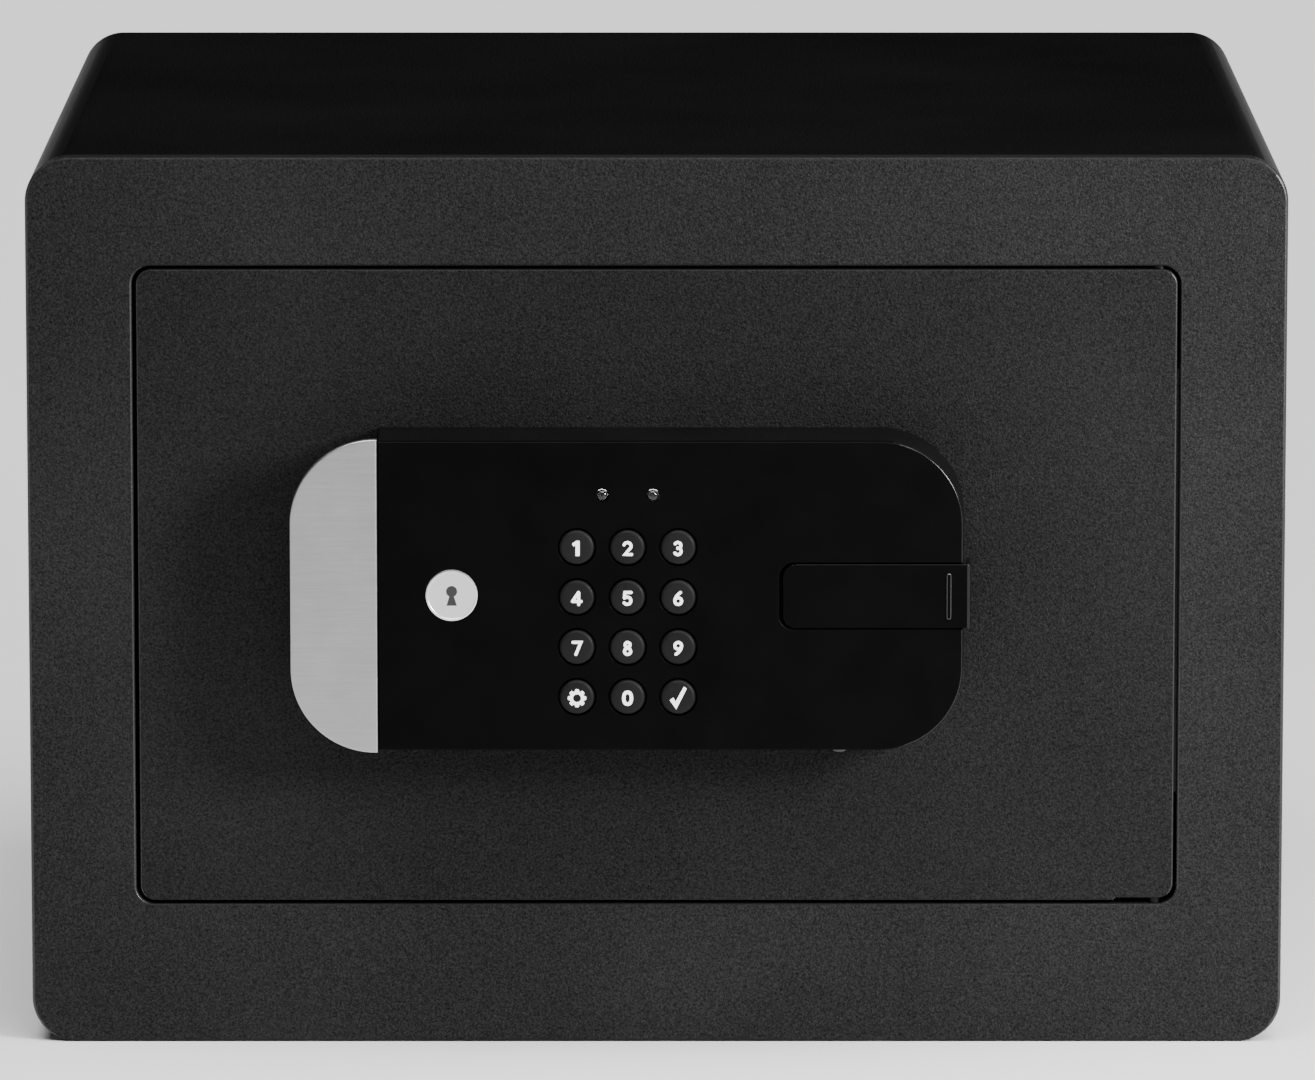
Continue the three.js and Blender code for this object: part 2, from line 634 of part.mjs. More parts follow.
piece(
  boltwork,
  "drive_pinion",
  join(
    plate(pinionPoints, RACK_Y[0] - 0.5, RACK_Y[1] + 0.5),
    bar("y", 3.5, RACK_Y[1], RACK_Y[1] + 3, 0, 0, 18),
    bar("y", 2, RACK_Y[1] + 2, RACK_Y[1] + 12, 0, 0, 16),
  ),
  ZINC, PINION_X, 0, PINION_Z,
);

// Geared motor: gearbox with a shaft hole, and the motor's can.
const GEAR_Y = [RACK_Y[1] + 3.6, COVER_BACK - 2.4];
const MOTOR_Y = (GEAR_Y[0] + GEAR_Y[1]) / 2;
piece(
  boltwork,
  "gearbox",
  cut(
    plate(roundedPoints(PINION_X - 14, 106, PINION_X + 30, 138, 3, 3), GEAR_Y[0], GEAR_Y[1]),
    bar("y", 2.3, GEAR_Y[0] - 1, RACK_Y[1] + 12.6, PINION_X, PINION_Z, 16),
  ),
  NYLON,
);
piece(
  boltwork,
  "motor_can",
  join(
    bar("x", 7.6, PINION_X + 30.2, PINION_X + 56, MOTOR_Y, 118, 24),
    bar("x", 3, PINION_X + 55, PINION_X + 58, MOTOR_Y, 118, 16),
  ),
  STEEL,
);

// ---------------------------------------------------------------- power and control
const RESET = [100, 180];
const power = group("power", door);
const TRAY = { x0: 50.5, x1: 114, z0: 57, z1: 113, y0: COVER_BACK - 19, y1: COVER_BACK - 1.8 };
const CELL_R = 7.15;
const cellX = [0, 1, 2, 3].map((i) => TRAY.x0 + 8.6 + i * 15.35);
piece(
  power,
  "battery_tray",
  cut(
    box(TRAY.x0, TRAY.y0, TRAY.z0, TRAY.x1, TRAY.y1 - 4, TRAY.z1),
    box(TRAY.x0 + 1.2, TRAY.y0 + 1.4, TRAY.z0 + 1.6, TRAY.x1 - 1.2, TRAY.y1 + 1, TRAY.z1 - 1.6),
  ),
  NYLON,
);
cellX.forEach((x, i) => {
  const cell = (() => {
    const g = turned([[0, -25], [CELL_R, -25], [CELL_R, 24], [2.7, 24], [2.7, 25.2], [0, 25.2]], 20);
    g.rotateX(i % 2 ? -Math.PI / 2 : Math.PI / 2);
    return g;
  })();
  piece(power, "battery_" + (i + 1), cell, CELL, x, TRAY.y0 + 1.7 + CELL_R, (TRAY.z0 + TRAY.z1) / 2);
});
const CONTROL_Y = FACE + 14;
piece(
  power,
  "control_board",
  join(
    plate(roundedPoints(0, 151, 112, 202, 1.5, 2), CONTROL_Y, CONTROL_Y + 1.6),
    box(30, CONTROL_Y + 1.5, 165, 44, CONTROL_Y + 4.4, 179),
    box(60, CONTROL_Y + 1.5, 158, 78, CONTROL_Y + 10, 166),
    bar("y", 5, CONTROL_Y + 1.5, CONTROL_Y + 13, 84, 190, 16),
    box(54, CONTROL_Y + 1.5, 184, 72, CONTROL_Y + 5, 192),
    // Switch tower under the reset button.
    box(RESET[0] - 3, CONTROL_Y + 1.5, RESET[1] - 3, RESET[0] + 3, COVER_BACK - 9.4, RESET[1] + 3),
  ),
  BOARD,
);
// Loom from the keypad, through the door plate, to the control board.
piece(
  power,
  "wire_loom",
  (() => {
    const path = new THREE.CatmullRomCurve3([
      new THREE.Vector3(WIRE_X, BOARD_Y + 1.9, WIRE_Z - 1.5),
      new THREE.Vector3(WIRE_X, BOARD_Y + 7, WIRE_Z - 1.5),
      new THREE.Vector3(WIRE_X, FACE + 3, WIRE_Z),
      new THREE.Vector3(WIRE_X + 0.8, FACE + 9, WIRE_Z + 1.2),
      new THREE.Vector3(WIRE_X + 1, CONTROL_Y - 0.3, WIRE_Z + 1.2),
    ]);
    return new THREE.ExtrudeGeometry(new THREE.Shape(circlePoints(0, 0, 2.2, 10)), {
      steps: 12, extrudePath: path, bevelEnabled: false,
    });
  })(),
  WIRE,
);

// ---------------------------------------------------------------- inner cover
const inner = group("inner_cover_group", door);
const COVER = { x0: -119.5, x1: 116.5, z0: 54, z1: 205, t: 1.5 };
const COVER_FRONT = DOOR_BACK + 0.2;
const WINDOW = [54, 60, 110.5, 110];
const CAP = { x0: 50, x1: 114, z0: 56.8, z1: 113.2, y0: COVER_BACK + 0.3, y1: COVER_BACK + 2.1 };
const rail = (z0, z1, lipZ0, lipZ1) => [
  box(24, COVER_BACK - 0.5, z0, COVER.x1 - 1, CAP.y1 + 1.3, z1),
  box(24, CAP.y1 + 0.3, lipZ0, COVER.x1 - 1, CAP.y1 + 1.3, lipZ1),
];
piece(
  inner,
  "inner_cover",
  cut(
    join(
      plate(roundedPoints(COVER.x0, COVER.z0, COVER.x1, COVER.z1, 4, 4), COVER_FRONT, COVER_BACK),
      plate(roundedPoints(-114, 45.5, 112, COVER.z0 + 3, 2, 2), COVER_FRONT, COVER_FRONT + COVER.t),
      plate(roundedPoints(-114, COVER.z1 - 3, 112, 213.5, 2, 2), COVER_FRONT, COVER_FRONT + COVER.t),
      ...rail(CAP.z1 + 0.5, CAP.z1 + 2.3, CAP.z1 - 1.2, CAP.z1 + 2.3),
      ...rail(CAP.z0 - 2.3, CAP.z0 - 0.5, CAP.z0 - 2.3, CAP.z0 + 1.2),
    ),
    plate(
      roundedPoints(COVER.x0 + COVER.t, COVER.z0 + COVER.t, COVER.x1 - COVER.t, COVER.z1 - COVER.t, 2.5, 4),
      COVER_FRONT - 1, COVER_BACK - COVER.t,
    ),
    // Battery window, reset hole, screw holes.
    plate(roundedPoints(...WINDOW, 2, 3), COVER_BACK - 3, COVER_BACK + 1),
    bar("y", 3.4, COVER_BACK - 3, COVER_BACK + 1, RESET[0], RESET[1], 18),
    ...COVER_SCREWS.map(([x, z]) => bar("y", 2.1, COVER_FRONT - 1, COVER_FRONT + 3, x, z, 14)),
    // Slots for the bolts, open to the door plate.
    ...BOLT_Z.flatMap((z) => [
      bar("x", BOLT_R + 0.8, COVER.x0 - 1, COVER.x0 + 3, BOLT_Y, z, 24),
      box(COVER.x0 - 1, COVER_FRONT - 1, z - BOLT_R - 0.8, COVER.x0 + 3, BOLT_Y, z + BOLT_R + 0.8),
    ]),
  ),
  SMOOTH_BLACK,
);
COVER_SCREWS.forEach(([x, z], i) =>
  piece(inner, "cover_screw_" + (i + 1), screwShape(5.2, 3.3, 1.7), ZINC, x, COVER_FRONT + COVER.t, z),
);
piece(
  inner,
  "battery_cap",
  cut(
    join(
      plate(roundedPoints(CAP.x0, CAP.z0, CAP.x1, CAP.z1, 1.5, 3), CAP.y0, CAP.y1),
      ...[0, 1, 2, 3].map((i) => box(56 + i * 3, CAP.y1 - 0.2, 76, 57.4 + i * 3, CAP.y1 + 1, 94)),
    ),
  ),
  PANEL_BLACK,
);
piece(
  inner,
  "reset_button",
  turned([[0, -8], [2, -8], [2, -3.6], [4.6, -3.6], [4.6, -2.4], [3, -2.4], [3, 1.2], [2.4, 1.6], [0, 1.7]], 18),
  RED, RESET[0], COVER_BACK, RESET[1],
);

export default safe;
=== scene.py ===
# A compact motorised home safe: the finished shapes, materials, floor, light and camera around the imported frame.
import math
import random

import bmesh
import bpy
from mathutils import Matrix, Vector
from mathutils.geometry import delaunay_2d_cdt


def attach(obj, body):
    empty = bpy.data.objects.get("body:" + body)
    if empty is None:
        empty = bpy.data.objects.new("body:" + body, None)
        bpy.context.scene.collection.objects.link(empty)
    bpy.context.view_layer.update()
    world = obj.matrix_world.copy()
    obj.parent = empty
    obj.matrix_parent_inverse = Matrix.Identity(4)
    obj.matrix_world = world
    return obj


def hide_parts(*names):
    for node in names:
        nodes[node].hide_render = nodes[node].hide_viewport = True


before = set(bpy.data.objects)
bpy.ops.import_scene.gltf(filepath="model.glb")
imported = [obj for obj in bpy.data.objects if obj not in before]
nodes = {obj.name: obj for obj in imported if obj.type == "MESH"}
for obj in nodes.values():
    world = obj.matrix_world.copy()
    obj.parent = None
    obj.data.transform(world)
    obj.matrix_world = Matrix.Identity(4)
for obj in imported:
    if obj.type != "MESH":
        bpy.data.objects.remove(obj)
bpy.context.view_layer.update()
random.seed(7)
MM = 0.001

# ---------------------------------------------------------------- the design's dimensions, in millimetres
FRONT, FACE, BACK = -162.5, -137.5, 162.5
PANEL_Y = FACE - 23
HINGE_X, HINGE_Y = 139.5, FACE + 3
OPENING = (-145.5, 39.5, 145.4, 219.6)
DOOR = (-144.4, 40.4, 144.5, 218.7)
DOOR_BACK = FACE + 6
PANEL = (-77.0, 87.5, 85.0, 174.0)
PANEL_R = 23.0
PANEL_MID = 130.75
SLIDE_HALF = 8.9
LOCK = (58.0, 131.0)
COVER_BACK = FACE + 49
KEY_X, KEY_Z, KEY_PITCH = -22.0, 144.5, 14.0
BOLT_Y = FACE + 20.1
BOLT_Z = (88.0, 172.0)


# ---------------------------------------------------------------- outlines: counter-clockwise lists of (x, z)
def rrect(x0, z0, x1, z1, r, seg=8):
    """A rounded rectangle. r is one radius, or [low left, low right, high right, high left]."""
    radii = r if isinstance(r, (list, tuple)) else [r] * 4
    corners = [
        (x0 + radii[0], z0 + radii[0], radii[0], math.pi),
        (x1 - radii[1], z0 + radii[1], radii[1], 1.5 * math.pi),
        (x1 - radii[2], z1 - radii[2], radii[2], 0.0),
        (x0 + radii[3], z1 - radii[3], radii[3], 0.5 * math.pi),
    ]
    out = []
    for cx, cz, radius, start in corners:
        if radius <= 0:
            out.append((cx, cz))
            continue
        for i in range(seg + 1):
            a = start + i / seg * math.pi / 2
            out.append((cx + radius * math.cos(a), cz + radius * math.sin(a)))
    return clean(out)


def circle(cx, cz, r, seg=48):
    return [
        (cx + r * math.cos(2 * math.pi * i / seg), cz + r * math.sin(2 * math.pi * i / seg))
        for i in range(seg)
    ]


def clean(points, least=1e-4):
    out = []
    for p in points:
        if not out or math.dist(p, out[-1]) > least:
            out.append(p)
    while len(out) > 2 and math.dist(out[0], out[-1]) <= least:
        out.pop()
    return out


def offset(points, d):
    """The outline moved inwards by d, or outwards if d is negative."""
    if abs(d) < 1e-9:
        return list(points)
    out = []
    n = len(points)
    for i in range(n):
        p0, p, p1 = Vector(points[i - 1]), Vector(points[i]), Vector(points[(i + 1) % n])
        e0, e1 = (p - p0).normalized(), (p1 - p).normalized()
        n0, n1 = Vector((-e0.y, e0.x)), Vector((-e1.y, e1.x))
        m = n0 + n1
        m = n0 if m.length < 1e-6 else m.normalized()
        q = p + m * (d / max(0.35, m.dot(n0)))
        out.append((q.x, q.y))
    return out


# ---------------------------------------------------------------- mesh making, in millimetres until it is finished
def cap(bm, rings, flip):
    """Fills between an outer ring and its holes with a constrained triangulation."""
    verts = [v for ring in rings for v in ring]
    flat = [Vector((v.co.x, v.co.z)) for v in verts]
    edges, start = [], 0
    for ring in rings:
        n = len(ring)
        edges += [(start + i, start + (i + 1) % n) for i in range(n)]
        start += n
    _, _, faces, orig, _, _ = delaunay_2d_cdt(flat, edges, [], 1, 1e-7)
    loops = [[(v.co.x, v.co.z) for v in ring] for ring in rings]

    def inside(x, z, loop):
        hit = False
        n = len(loop)
        for i in range(n):
            (xa, za), (xb, zb) = loop[i], loop[(i + 1) % n]
            if (za > z) != (zb > z) and x < (xb - xa) * (z - za) / (zb - za) + xa:
                hit = not hit
        return hit

    for f in faces:
        ids = [orig[i][0] for i in f if orig[i]]
        if len(ids) != 3 or len(set(ids)) != 3:
            continue
        x = sum(flat[i].x for i in ids) / 3
        z = sum(flat[i].y for i in ids) / 3
        if not inside(x, z, loops[0]) or any(inside(x, z, h) for h in loops[1:]):
            continue
        tri = [verts[i] for i in ids]
        if flip:
            tri.reverse()
        try:
            bm.faces.new(tri)
        except ValueError:
            pass


def steps_of(y0, y1, f0, f1, seg):
    """(inset, y) pairs from the front face to the back, with a round of radius f0 in front and f1 behind."""
    out = []
    if f0 > 0:
        for k in range(seg + 1):
            a = k / seg * math.pi / 2
            out.append((f0 * (1 - math.sin(a)), y0 + f0 * (1 - math.cos(a))))
    else:
        out.append((0.0, y0))
    if f1 > 0:
        for k in range(seg + 1):
            a = (1 - k / seg) * math.pi / 2
            out.append((f1 * (1 - math.sin(a)), y1 - f1 * (1 - math.cos(a))))
    else:
        out.append((0.0, y1))
    return out


def plate(outer, y0, y1, f0=0.0, f1=0.0, holes=(), hole_f=None, seg=4, draft=(0.0, 0.0), bm=None):
    """A plate that stands in x-z from y0 to y1. draft is how far the outline moves out at the front and back."""
    bm = bm or bmesh.new()
    ends = []
    hole_f = (f0, f1) if hole_f is None else hole_f
    for index, loop in enumerate([outer, *holes]):
        a, b = (f0, f1) if index == 0 else hole_f
        rings = []
        for inset, y in steps_of(y0, y1, a, b, seg):
            t = (y - y0) / (y1 - y0)
            out = draft[0] * (1 - t) + draft[1] * t if index == 0 else 0.0
            pts = offset(loop, inset - out) if index == 0 else offset(loop, -inset)
            rings.append([bm.verts.new((x, y, z)) for x, z in pts])
        for r0, r1 in zip(rings, rings[1:]):
            n = len(r0)
            for i in range(n):
                j = (i + 1) % n
                q = [r0[i], r0[j], r1[j], r1[i]]
                if index:
                    q.reverse()
                bm.faces.new(q)
        ends.append((rings[0], rings[-1]))
    cap(bm, [e[0] for e in ends], False)
    cap(bm, [e[1] for e in ends], True)
    return bm


def turned(profile, at, axis="y", seg=48, bm=None, phase=0.0):
    """A turned piece. profile is (radius, along) pairs that start and end on the axis, and at is the axis's origin."""
    bm = bm or bmesh.new()
    rings = []
    for r, t in profile:
        n = 1 if r < 1e-6 else seg
        ring = []
        for i in range(n):
            a = 2 * math.pi * i / seg + phase
            c, s = r * math.cos(a), r * math.sin(a)
            co = {"y": (c, t, s), "x": (t, s, c), "z": (s, c, t)}[axis]
            ring.append(bm.verts.new(Vector(co) + Vector(at)))
        rings.append(ring)
    for a, b in zip(rings, rings[1:]):
        for i in range(seg):
            j = (i + 1) % seg
            q = [a[i % len(a)], a[j % len(a)], b[j % len(b)], b[i % len(b)]]
            q = [v for k, v in enumerate(q) if v not in q[:k]]
            if len(q) > 2:
                bm.faces.new(q)
    return bm


def block(lo, hi, bevel=0.0, seg=2, bm=None):
    made = bmesh.new()
    bmesh.ops.create_cube(made, size=1.0)
    for v in made.verts:
        v.co = Vector([lo[i] + (v.co[i] + 0.5) * (hi[i] - lo[i]) for i in range(3)])
    if bevel:
        bmesh.ops.bevel(made, geom=made.edges[:], offset=bevel, segments=seg, profile=0.5, affect="EDGES")
    if bm is None:
        return made
    merge(bm, made)
    return bm


def merge(bm, *others):
    for other in others:
        me = bpy.data.meshes.new("tmp")
        other.to_mesh(me)
        bm.from_mesh(me)
        bpy.data.meshes.remove(me)
        other.free()
    return bm


def prism(points, plane, a, b):
    """An outline pushed along the axis that isn't in its plane."""
    bm = bmesh.new()
    place = {
        "xy": lambda p, t: (p[0], p[1], t),
        "xz": lambda p, t: (p[0], t, p[1]),
        "yz": lambda p, t: (t, p[0], p[1]),
    }[plane]
    r0 = [bm.verts.new(place(p, a)) for p in points]
    r1 = [bm.verts.new(place(p, b)) for p in points]
    n = len(points)
    for i in range(n):
        bm.faces.new([r0[i], r0[(i + 1) % n], r1[(i + 1) % n], r1[i]])
    bm.faces.new(r0)
    bm.faces.new(list(reversed(r1)))
    bmesh.ops.recalc_face_normals(bm, faces=bm.faces[:])
    return bm


def solve(bm, tools, how="DIFFERENCE"):
    """bm with the tools cut from it, joined to it or kept in common, by Blender's exact solver."""

    def object_of(b, name):
        bmesh.ops.recalc_face_normals(b, faces=b.faces[:])
        me = bpy.data.meshes.new(name)
        b.to_mesh(me)
        b.free()
        ob = bpy.data.objects.new(name, me)
        bpy.context.scene.collection.objects.link(ob)
        return ob

    base = object_of(bm, "base")
    for tool in tools:
        other = object_of(tool, "tool")
        m = base.modifiers.new("b", "BOOLEAN")
        m.operation, m.solver, m.object = how, "EXACT", other
        deps = bpy.context.evaluated_depsgraph_get()
        deps.update()
        made = bpy.data.meshes.new_from_object(base.evaluated_get(deps))
        base.modifiers.clear()
        old = base.data
        base.data = made
        bpy.data.meshes.remove(old)
        me = other.data
        bpy.data.objects.remove(other)
        bpy.data.meshes.remove(me)
    out = bmesh.new()
    out.from_mesh(base.data)
    me = base.data
    bpy.data.objects.remove(base)
    bpy.data.meshes.remove(me)
    return out


def finish(name, bm, material, body, node=None, sharp=32, weighted=True, bevel=0.0, bevel_seg=2, edges=None):
    """The piece as an object in metres, smooth but for its sharp edges, riding on its body."""
    bmesh.ops.remove_doubles(bm, verts=bm.verts[:], dist=2e-4)
    bmesh.ops.dissolve_degenerate(bm, edges=bm.edges[:], dist=1e-4)
    bmesh.ops.recalc_face_normals(bm, faces=bm.faces[:])
    bmesh.ops.scale(bm, vec=(MM, MM, MM), verts=bm.verts[:])
    me = bpy.data.meshes.new(name)
    bm.to_mesh(me)
    bm.free()
    ob = bpy.data.objects.new(name, me)
    bpy.context.scene.collection.objects.link(ob)
    for p in me.polygons:
        p.use_smooth = True
    me.set_sharp_from_angle(angle=math.radians(sharp))
    for m in material if isinstance(material, (list, tuple)) else [material]:
        me.materials.append(m)
    if edges:
        for p in me.polygons:
            p.material_index = edges(p.center / MM, p.normal)
    if bevel:
        b = ob.modifiers.new("edges", "BEVEL")
        b.width, b.segments, b.limit_method, b.angle_limit = bevel * MM, bevel_seg, "ANGLE", math.radians(sharp)
    if weighted:
        w = ob.modifiers.new("normals", "WEIGHTED_NORMAL")
        w.keep_sharp, w.weight = True, 60
    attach(ob, body)
    if node:
        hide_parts(*([node] if isinstance(node, str) else node))
    return ob


def dress(name, material, bevel=0.25, seg=2, angle=38):
    """A frame node whose shape is right: its edges are broken, its faces shaded and its material set."""
    ob = nodes[name]
    ob.data.materials.clear()
    ob.data.materials.append(material)
    for p in ob.data.polygons:
        p.use_smooth = True
    for a in [a for a in ob.data.attributes if a.name in ("custom_normal", "sharp_edge")]:
        ob.data.attributes.remove(a)
    w = ob.modifiers.new("weld", "WELD")
    w.merge_threshold = 2e-6
    if bevel:
        b = ob.modifiers.new("edges", "BEVEL")
        b.width, b.segments, b.limit_method, b.angle_limit = bevel * MM, seg, "ANGLE", math.radians(angle)
        b.use_clamp_overlap = True
        b.harden_normals = False
    n = ob.modifiers.new("normals", "WEIGHTED_NORMAL")
    n.keep_sharp, n.weight = True, 60
    return ob


# ---------------------------------------------------------------- materials
class Mat:
    """A small wrapper to write node materials in few lines. Coordinates are in millimetres."""

    def __init__(self, name):
        self.m = bpy.data.materials.new(name)
        self.m.use_nodes = True
        self.t = self.m.node_tree
        self.t.nodes.clear()
        self.out = self.t.nodes.new("ShaderNodeOutputMaterial")
        self.b = self.t.nodes.new("ShaderNodeBsdfPrincipled")
        self.t.links.new(self.b.outputs[0], self.out.inputs[0])
        tc = self.t.nodes.new("ShaderNodeTexCoord")
        self.co = self.scaled(tc.outputs["Object"], (1000, 1000, 1000))

    def scaled(self, source, scale, location=(0, 0, 0)):
        n = self.t.nodes.new("ShaderNodeMapping")
        n.inputs["Scale"].default_value = scale
        n.inputs["Location"].default_value = location
        self.t.links.new(source, n.inputs["Vector"])
        return n.outputs[0]

    def noise(self, scale, detail=2.0, rough=0.5, distortion=0.0, co=None):
        n = self.t.nodes.new("ShaderNodeTexNoise")
        n.inputs["Scale"].default_value = scale
        n.inputs["Detail"].default_value = detail
        n.inputs["Roughness"].default_value = rough
        n.inputs["Distortion"].default_value = distortion
        self.t.links.new(co or self.co, n.inputs["Vector"])
        return n.outputs[0]

    def cells(self, scale, feature="F1", co=None, randomness=1.0):
        n = self.t.nodes.new("ShaderNodeTexVoronoi")
        n.feature = feature
        n.inputs["Scale"].default_value = scale
        n.inputs["Randomness"].default_value = randomness
        self.t.links.new(co or self.co, n.inputs["Vector"])
        return n.outputs["Distance"]

    def math(self, op, a, b=0.0, c=None, clamp=False):
        n = self.t.nodes.new("ShaderNodeMath")
        n.operation, n.use_clamp = op, clamp
        for i, v in enumerate((a, b, c)):
            if v is None:
                continue
            if hasattr(v, "links"):
                self.t.links.new(v, n.inputs[i])
            else:
                n.inputs[i].default_value = v
        return n.outputs[0]

    def range(self, v, a, b, lo, hi):
        n = self.t.nodes.new("ShaderNodeMapRange")
        n.inputs["From Min"].default_value, n.inputs["From Max"].default_value = a, b
        n.inputs["To Min"].default_value, n.inputs["To Max"].default_value = lo, hi
        self.t.links.new(v, n.inputs["Value"])
        return n.outputs[0]

    def ramp(self, v, stops):
        n = self.t.nodes.new("ShaderNodeValToRGB")
        e = n.color_ramp.elements
        while len(e) < len(stops):
            e.new(0.5)
        for el, (p, c) in zip(e, stops):
            el.position = p
            el.color = (*(c if isinstance(c, (list, tuple)) else (c, c, c)), 1.0)
        self.t.links.new(v, n.inputs[0])
        return n.outputs[0]

    def mix(self, f, a, b):
        n = self.t.nodes.new("ShaderNodeMix")
        n.data_type = "RGBA"
        for socket, v in ((n.inputs[0], f), (n.inputs[6], a), (n.inputs[7], b)):
            if hasattr(v, "links"):
                self.t.links.new(v, socket)
            elif isinstance(v, (int, float)):
                socket.default_value = v
            else:
                socket.default_value = (*v, 1.0)
        return n.outputs[2]

    def xyz(self, axis):
        n = self.t.nodes.new("ShaderNodeSeparateXYZ")
        self.t.links.new(self.co, n.inputs[0])
        return n.outputs[axis]

    def bump(self, height, distance, strength=1.0, after=None):
        n = self.t.nodes.new("ShaderNodeBump")
        n.inputs["Distance"].default_value = distance * MM
        n.inputs["Strength"].default_value = strength
        self.t.links.new(height, n.inputs["Height"])
        if after is not None:
            self.t.links.new(after, n.inputs["Normal"])
        return n.outputs[0]

    def set(self, **values):
        names = {
            "color": "Base Color", "rough": "Roughness", "metal": "Metallic", "normal": "Normal",
            "spec": "Specular IOR Level", "ior": "IOR", "trans": "Transmission Weight",
            "coat": "Coat Weight", "coat_rough": "Coat Roughness", "sheen": "Sheen Weight",
            "sheen_rough": "Sheen Roughness", "aniso": "Anisotropic",
        }
        for k, v in values.items():
            socket = self.b.inputs[names[k]]
            if hasattr(v, "links"):
                self.t.links.new(v, socket)
            elif k == "color":
                socket.default_value = (*v, 1.0) if isinstance(v, (list, tuple)) else (v, v, v, 1.0)
            else:
                socket.default_value = v
        return self.m


def textured_coat(name, dark, light, rough=(0.40, 0.66), spec=0.5, grain=1.0, height=0.12):
    """Textured powder coat: fused grains with fine pits between them."""
    m = Mat(name)
    grains = m.noise(1.62 * grain, 2, 0.55, 0.35)
    crumbs = m.cells(2.2 * grain, "SMOOTH_F1")
    fine = m.noise(5.2 * grain, 2, 0.6)
    broad = m.noise(0.012, 2, 0.5)
    h = m.math("ADD", grains, m.math("MULTIPLY", crumbs, -0.5))
    h = m.math("ADD", h, m.math("MULTIPLY", fine, 0.22))
    tone = m.math("ADD", m.math("MULTIPLY", grains, 0.62), m.math("MULTIPLY", fine, 0.23))
    tone = m.math("ADD", tone, m.math("MULTIPLY", broad, 0.15))
    color = m.ramp(tone, [(0.36, dark), (0.52, [(a + b) / 2 for a, b in zip([dark] * 3, [light] * 3)]), (0.64, light)])
    r = m.range(grains, 0.35, 0.65, rough[1], rough[0])
    return m.set(color=color, rough=r, spec=spec, normal=m.bump(h, height, 1.0))


def smooth_coat(name, dark, light, rough=(0.38, 0.5), spec=0.5, height=0.02):
    """Smooth powder coat with a slight orange peel."""
    m = Mat(name)
    peel = m.noise(0.45, 2, 0.45)
    fine = m.noise(3.2, 2, 0.55)
    broad = m.noise(0.02, 3, 0.55)
    color = m.ramp(m.math("ADD", m.math("MULTIPLY", broad, 0.5), m.math("MULTIPLY", fine, 0.5)), [(0.32, dark), (0.68, light)])
    r = m.range(m.math("ADD", m.math("MULTIPLY", broad, 0.15), m.math("MULTIPLY", fine, 0.85)), 0.32, 0.68, *rough)
    h = m.math("ADD", m.math("MULTIPLY", peel, 1.0), m.math("MULTIPLY", fine, 0.18))
    return m.set(color=color, rough=r, spec=spec, normal=m.bump(h, height, 1.0))


def moulded(name, dark, light, rough=(0.3, 0.42), spec=0.5, texture=7.0, height=0.006):
    """Injection-moulded plastic with a fine spark-eroded skin."""
    m = Mat(name)
    skin = m.noise(texture, 2, 0.5)
    broad = m.noise(0.05, 3, 0.6)
    smear = m.noise(0.35, 3, 0.6)
    color = m.ramp(broad, [(0.3, dark), (0.7, light)])
    r = m.range(m.math("ADD", m.math("MULTIPLY", smear, 0.65), m.math("MULTIPLY", skin, 0.35)), 0.32, 0.68, *rough)
    return m.set(color=color, rough=r, spec=spec, normal=m.bump(skin, height, 1.0))


def metal(name, dark, light, rough=(0.2, 0.32), scratch=(1, 1, 1), streak=6.0, height=0.004, spots=0.0):
    """Bare or plated metal. scratch squeezes the marks along the axis they run on."""
    m = Mat(name)
    co = m.scaled(m.co, scratch)
    lines = m.noise(streak, 4, 0.65, co=co)
    wide = m.noise(streak * 0.22, 2, 0.5, co=co)
    cloud = m.noise(0.09, 3, 0.6)
    mixed = m.math("ADD", m.math("MULTIPLY", lines, 0.45), m.math("MULTIPLY", wide, 0.25))
    mixed = m.math("ADD", mixed, m.math("MULTIPLY", cloud, 0.30))
    color = m.ramp(mixed, [(0.34, dark), (0.66, light)])
    if spots:
        pits = m.noise(2.4, 2, 0.5)
        color = m.mix(m.range(pits, 0.62, 0.75, 0.0, spots), color, dark if isinstance(dark, tuple) else (dark,) * 3)
    r = m.range(mixed, 0.34, 0.66, *rough)
    return m.set(color=color, rough=r, metal=1.0, normal=m.bump(lines, height, 1.0))


frame_coat = textured_coat("frame_coat", 0.0010, 0.0211, spec=0.11, height=0.18)
door_coat = textured_coat("door_coat", 0.0008, 0.0170, spec=0.09, height=0.18)
# frame_edge_highlight is a lighter, glossier copy of the coat: a painted highlight on the side-facing edges.
frame_edge_highlight = textured_coat("frame_edge_highlight", 0.010, 0.022, rough=(0.30, 0.42), spec=0.42, height=0.05)
frame_lip = textured_coat("frame_lip", 0.005, 0.015, rough=(0.40, 0.55), spec=0.10, height=0.05)
# corner_shade_coat and top_painted_shade_coat are darker copies of the case's coat: painted shade for the top and its
# rounded upper edges.
corner_shade_coat = smooth_coat("corner_shade_coat", 0.0016, 0.0028, rough=(0.26, 0.36), spec=0.035)
top_painted_shade_coat = textured_coat("top_painted_shade_coat", 0.0016, 0.0084, rough=(0.48, 0.62), spec=0.0, height=0.10)
side_coat = textured_coat("side_coat", 0.0016, 0.0260, spec=0.16, height=0.18)
inner_coat = smooth_coat("inner_coat", 0.010, 0.016, rough=(0.34, 0.46), spec=0.5, height=0.03)
panel_black = moulded("panel_black", 0.0012, 0.0020, rough=(0.30, 0.40), spec=0.03)
# edge_highlight_black is a lighter, glossier copy of the panel plastic: a painted highlight on edges.
edge_highlight_black = moulded("edge_highlight_black", 0.0022, 0.0035, rough=(0.20, 0.28), spec=0.34)
side_black = moulded("side_black", 0.0024, 0.0036, rough=(0.30, 0.40), spec=0.10)
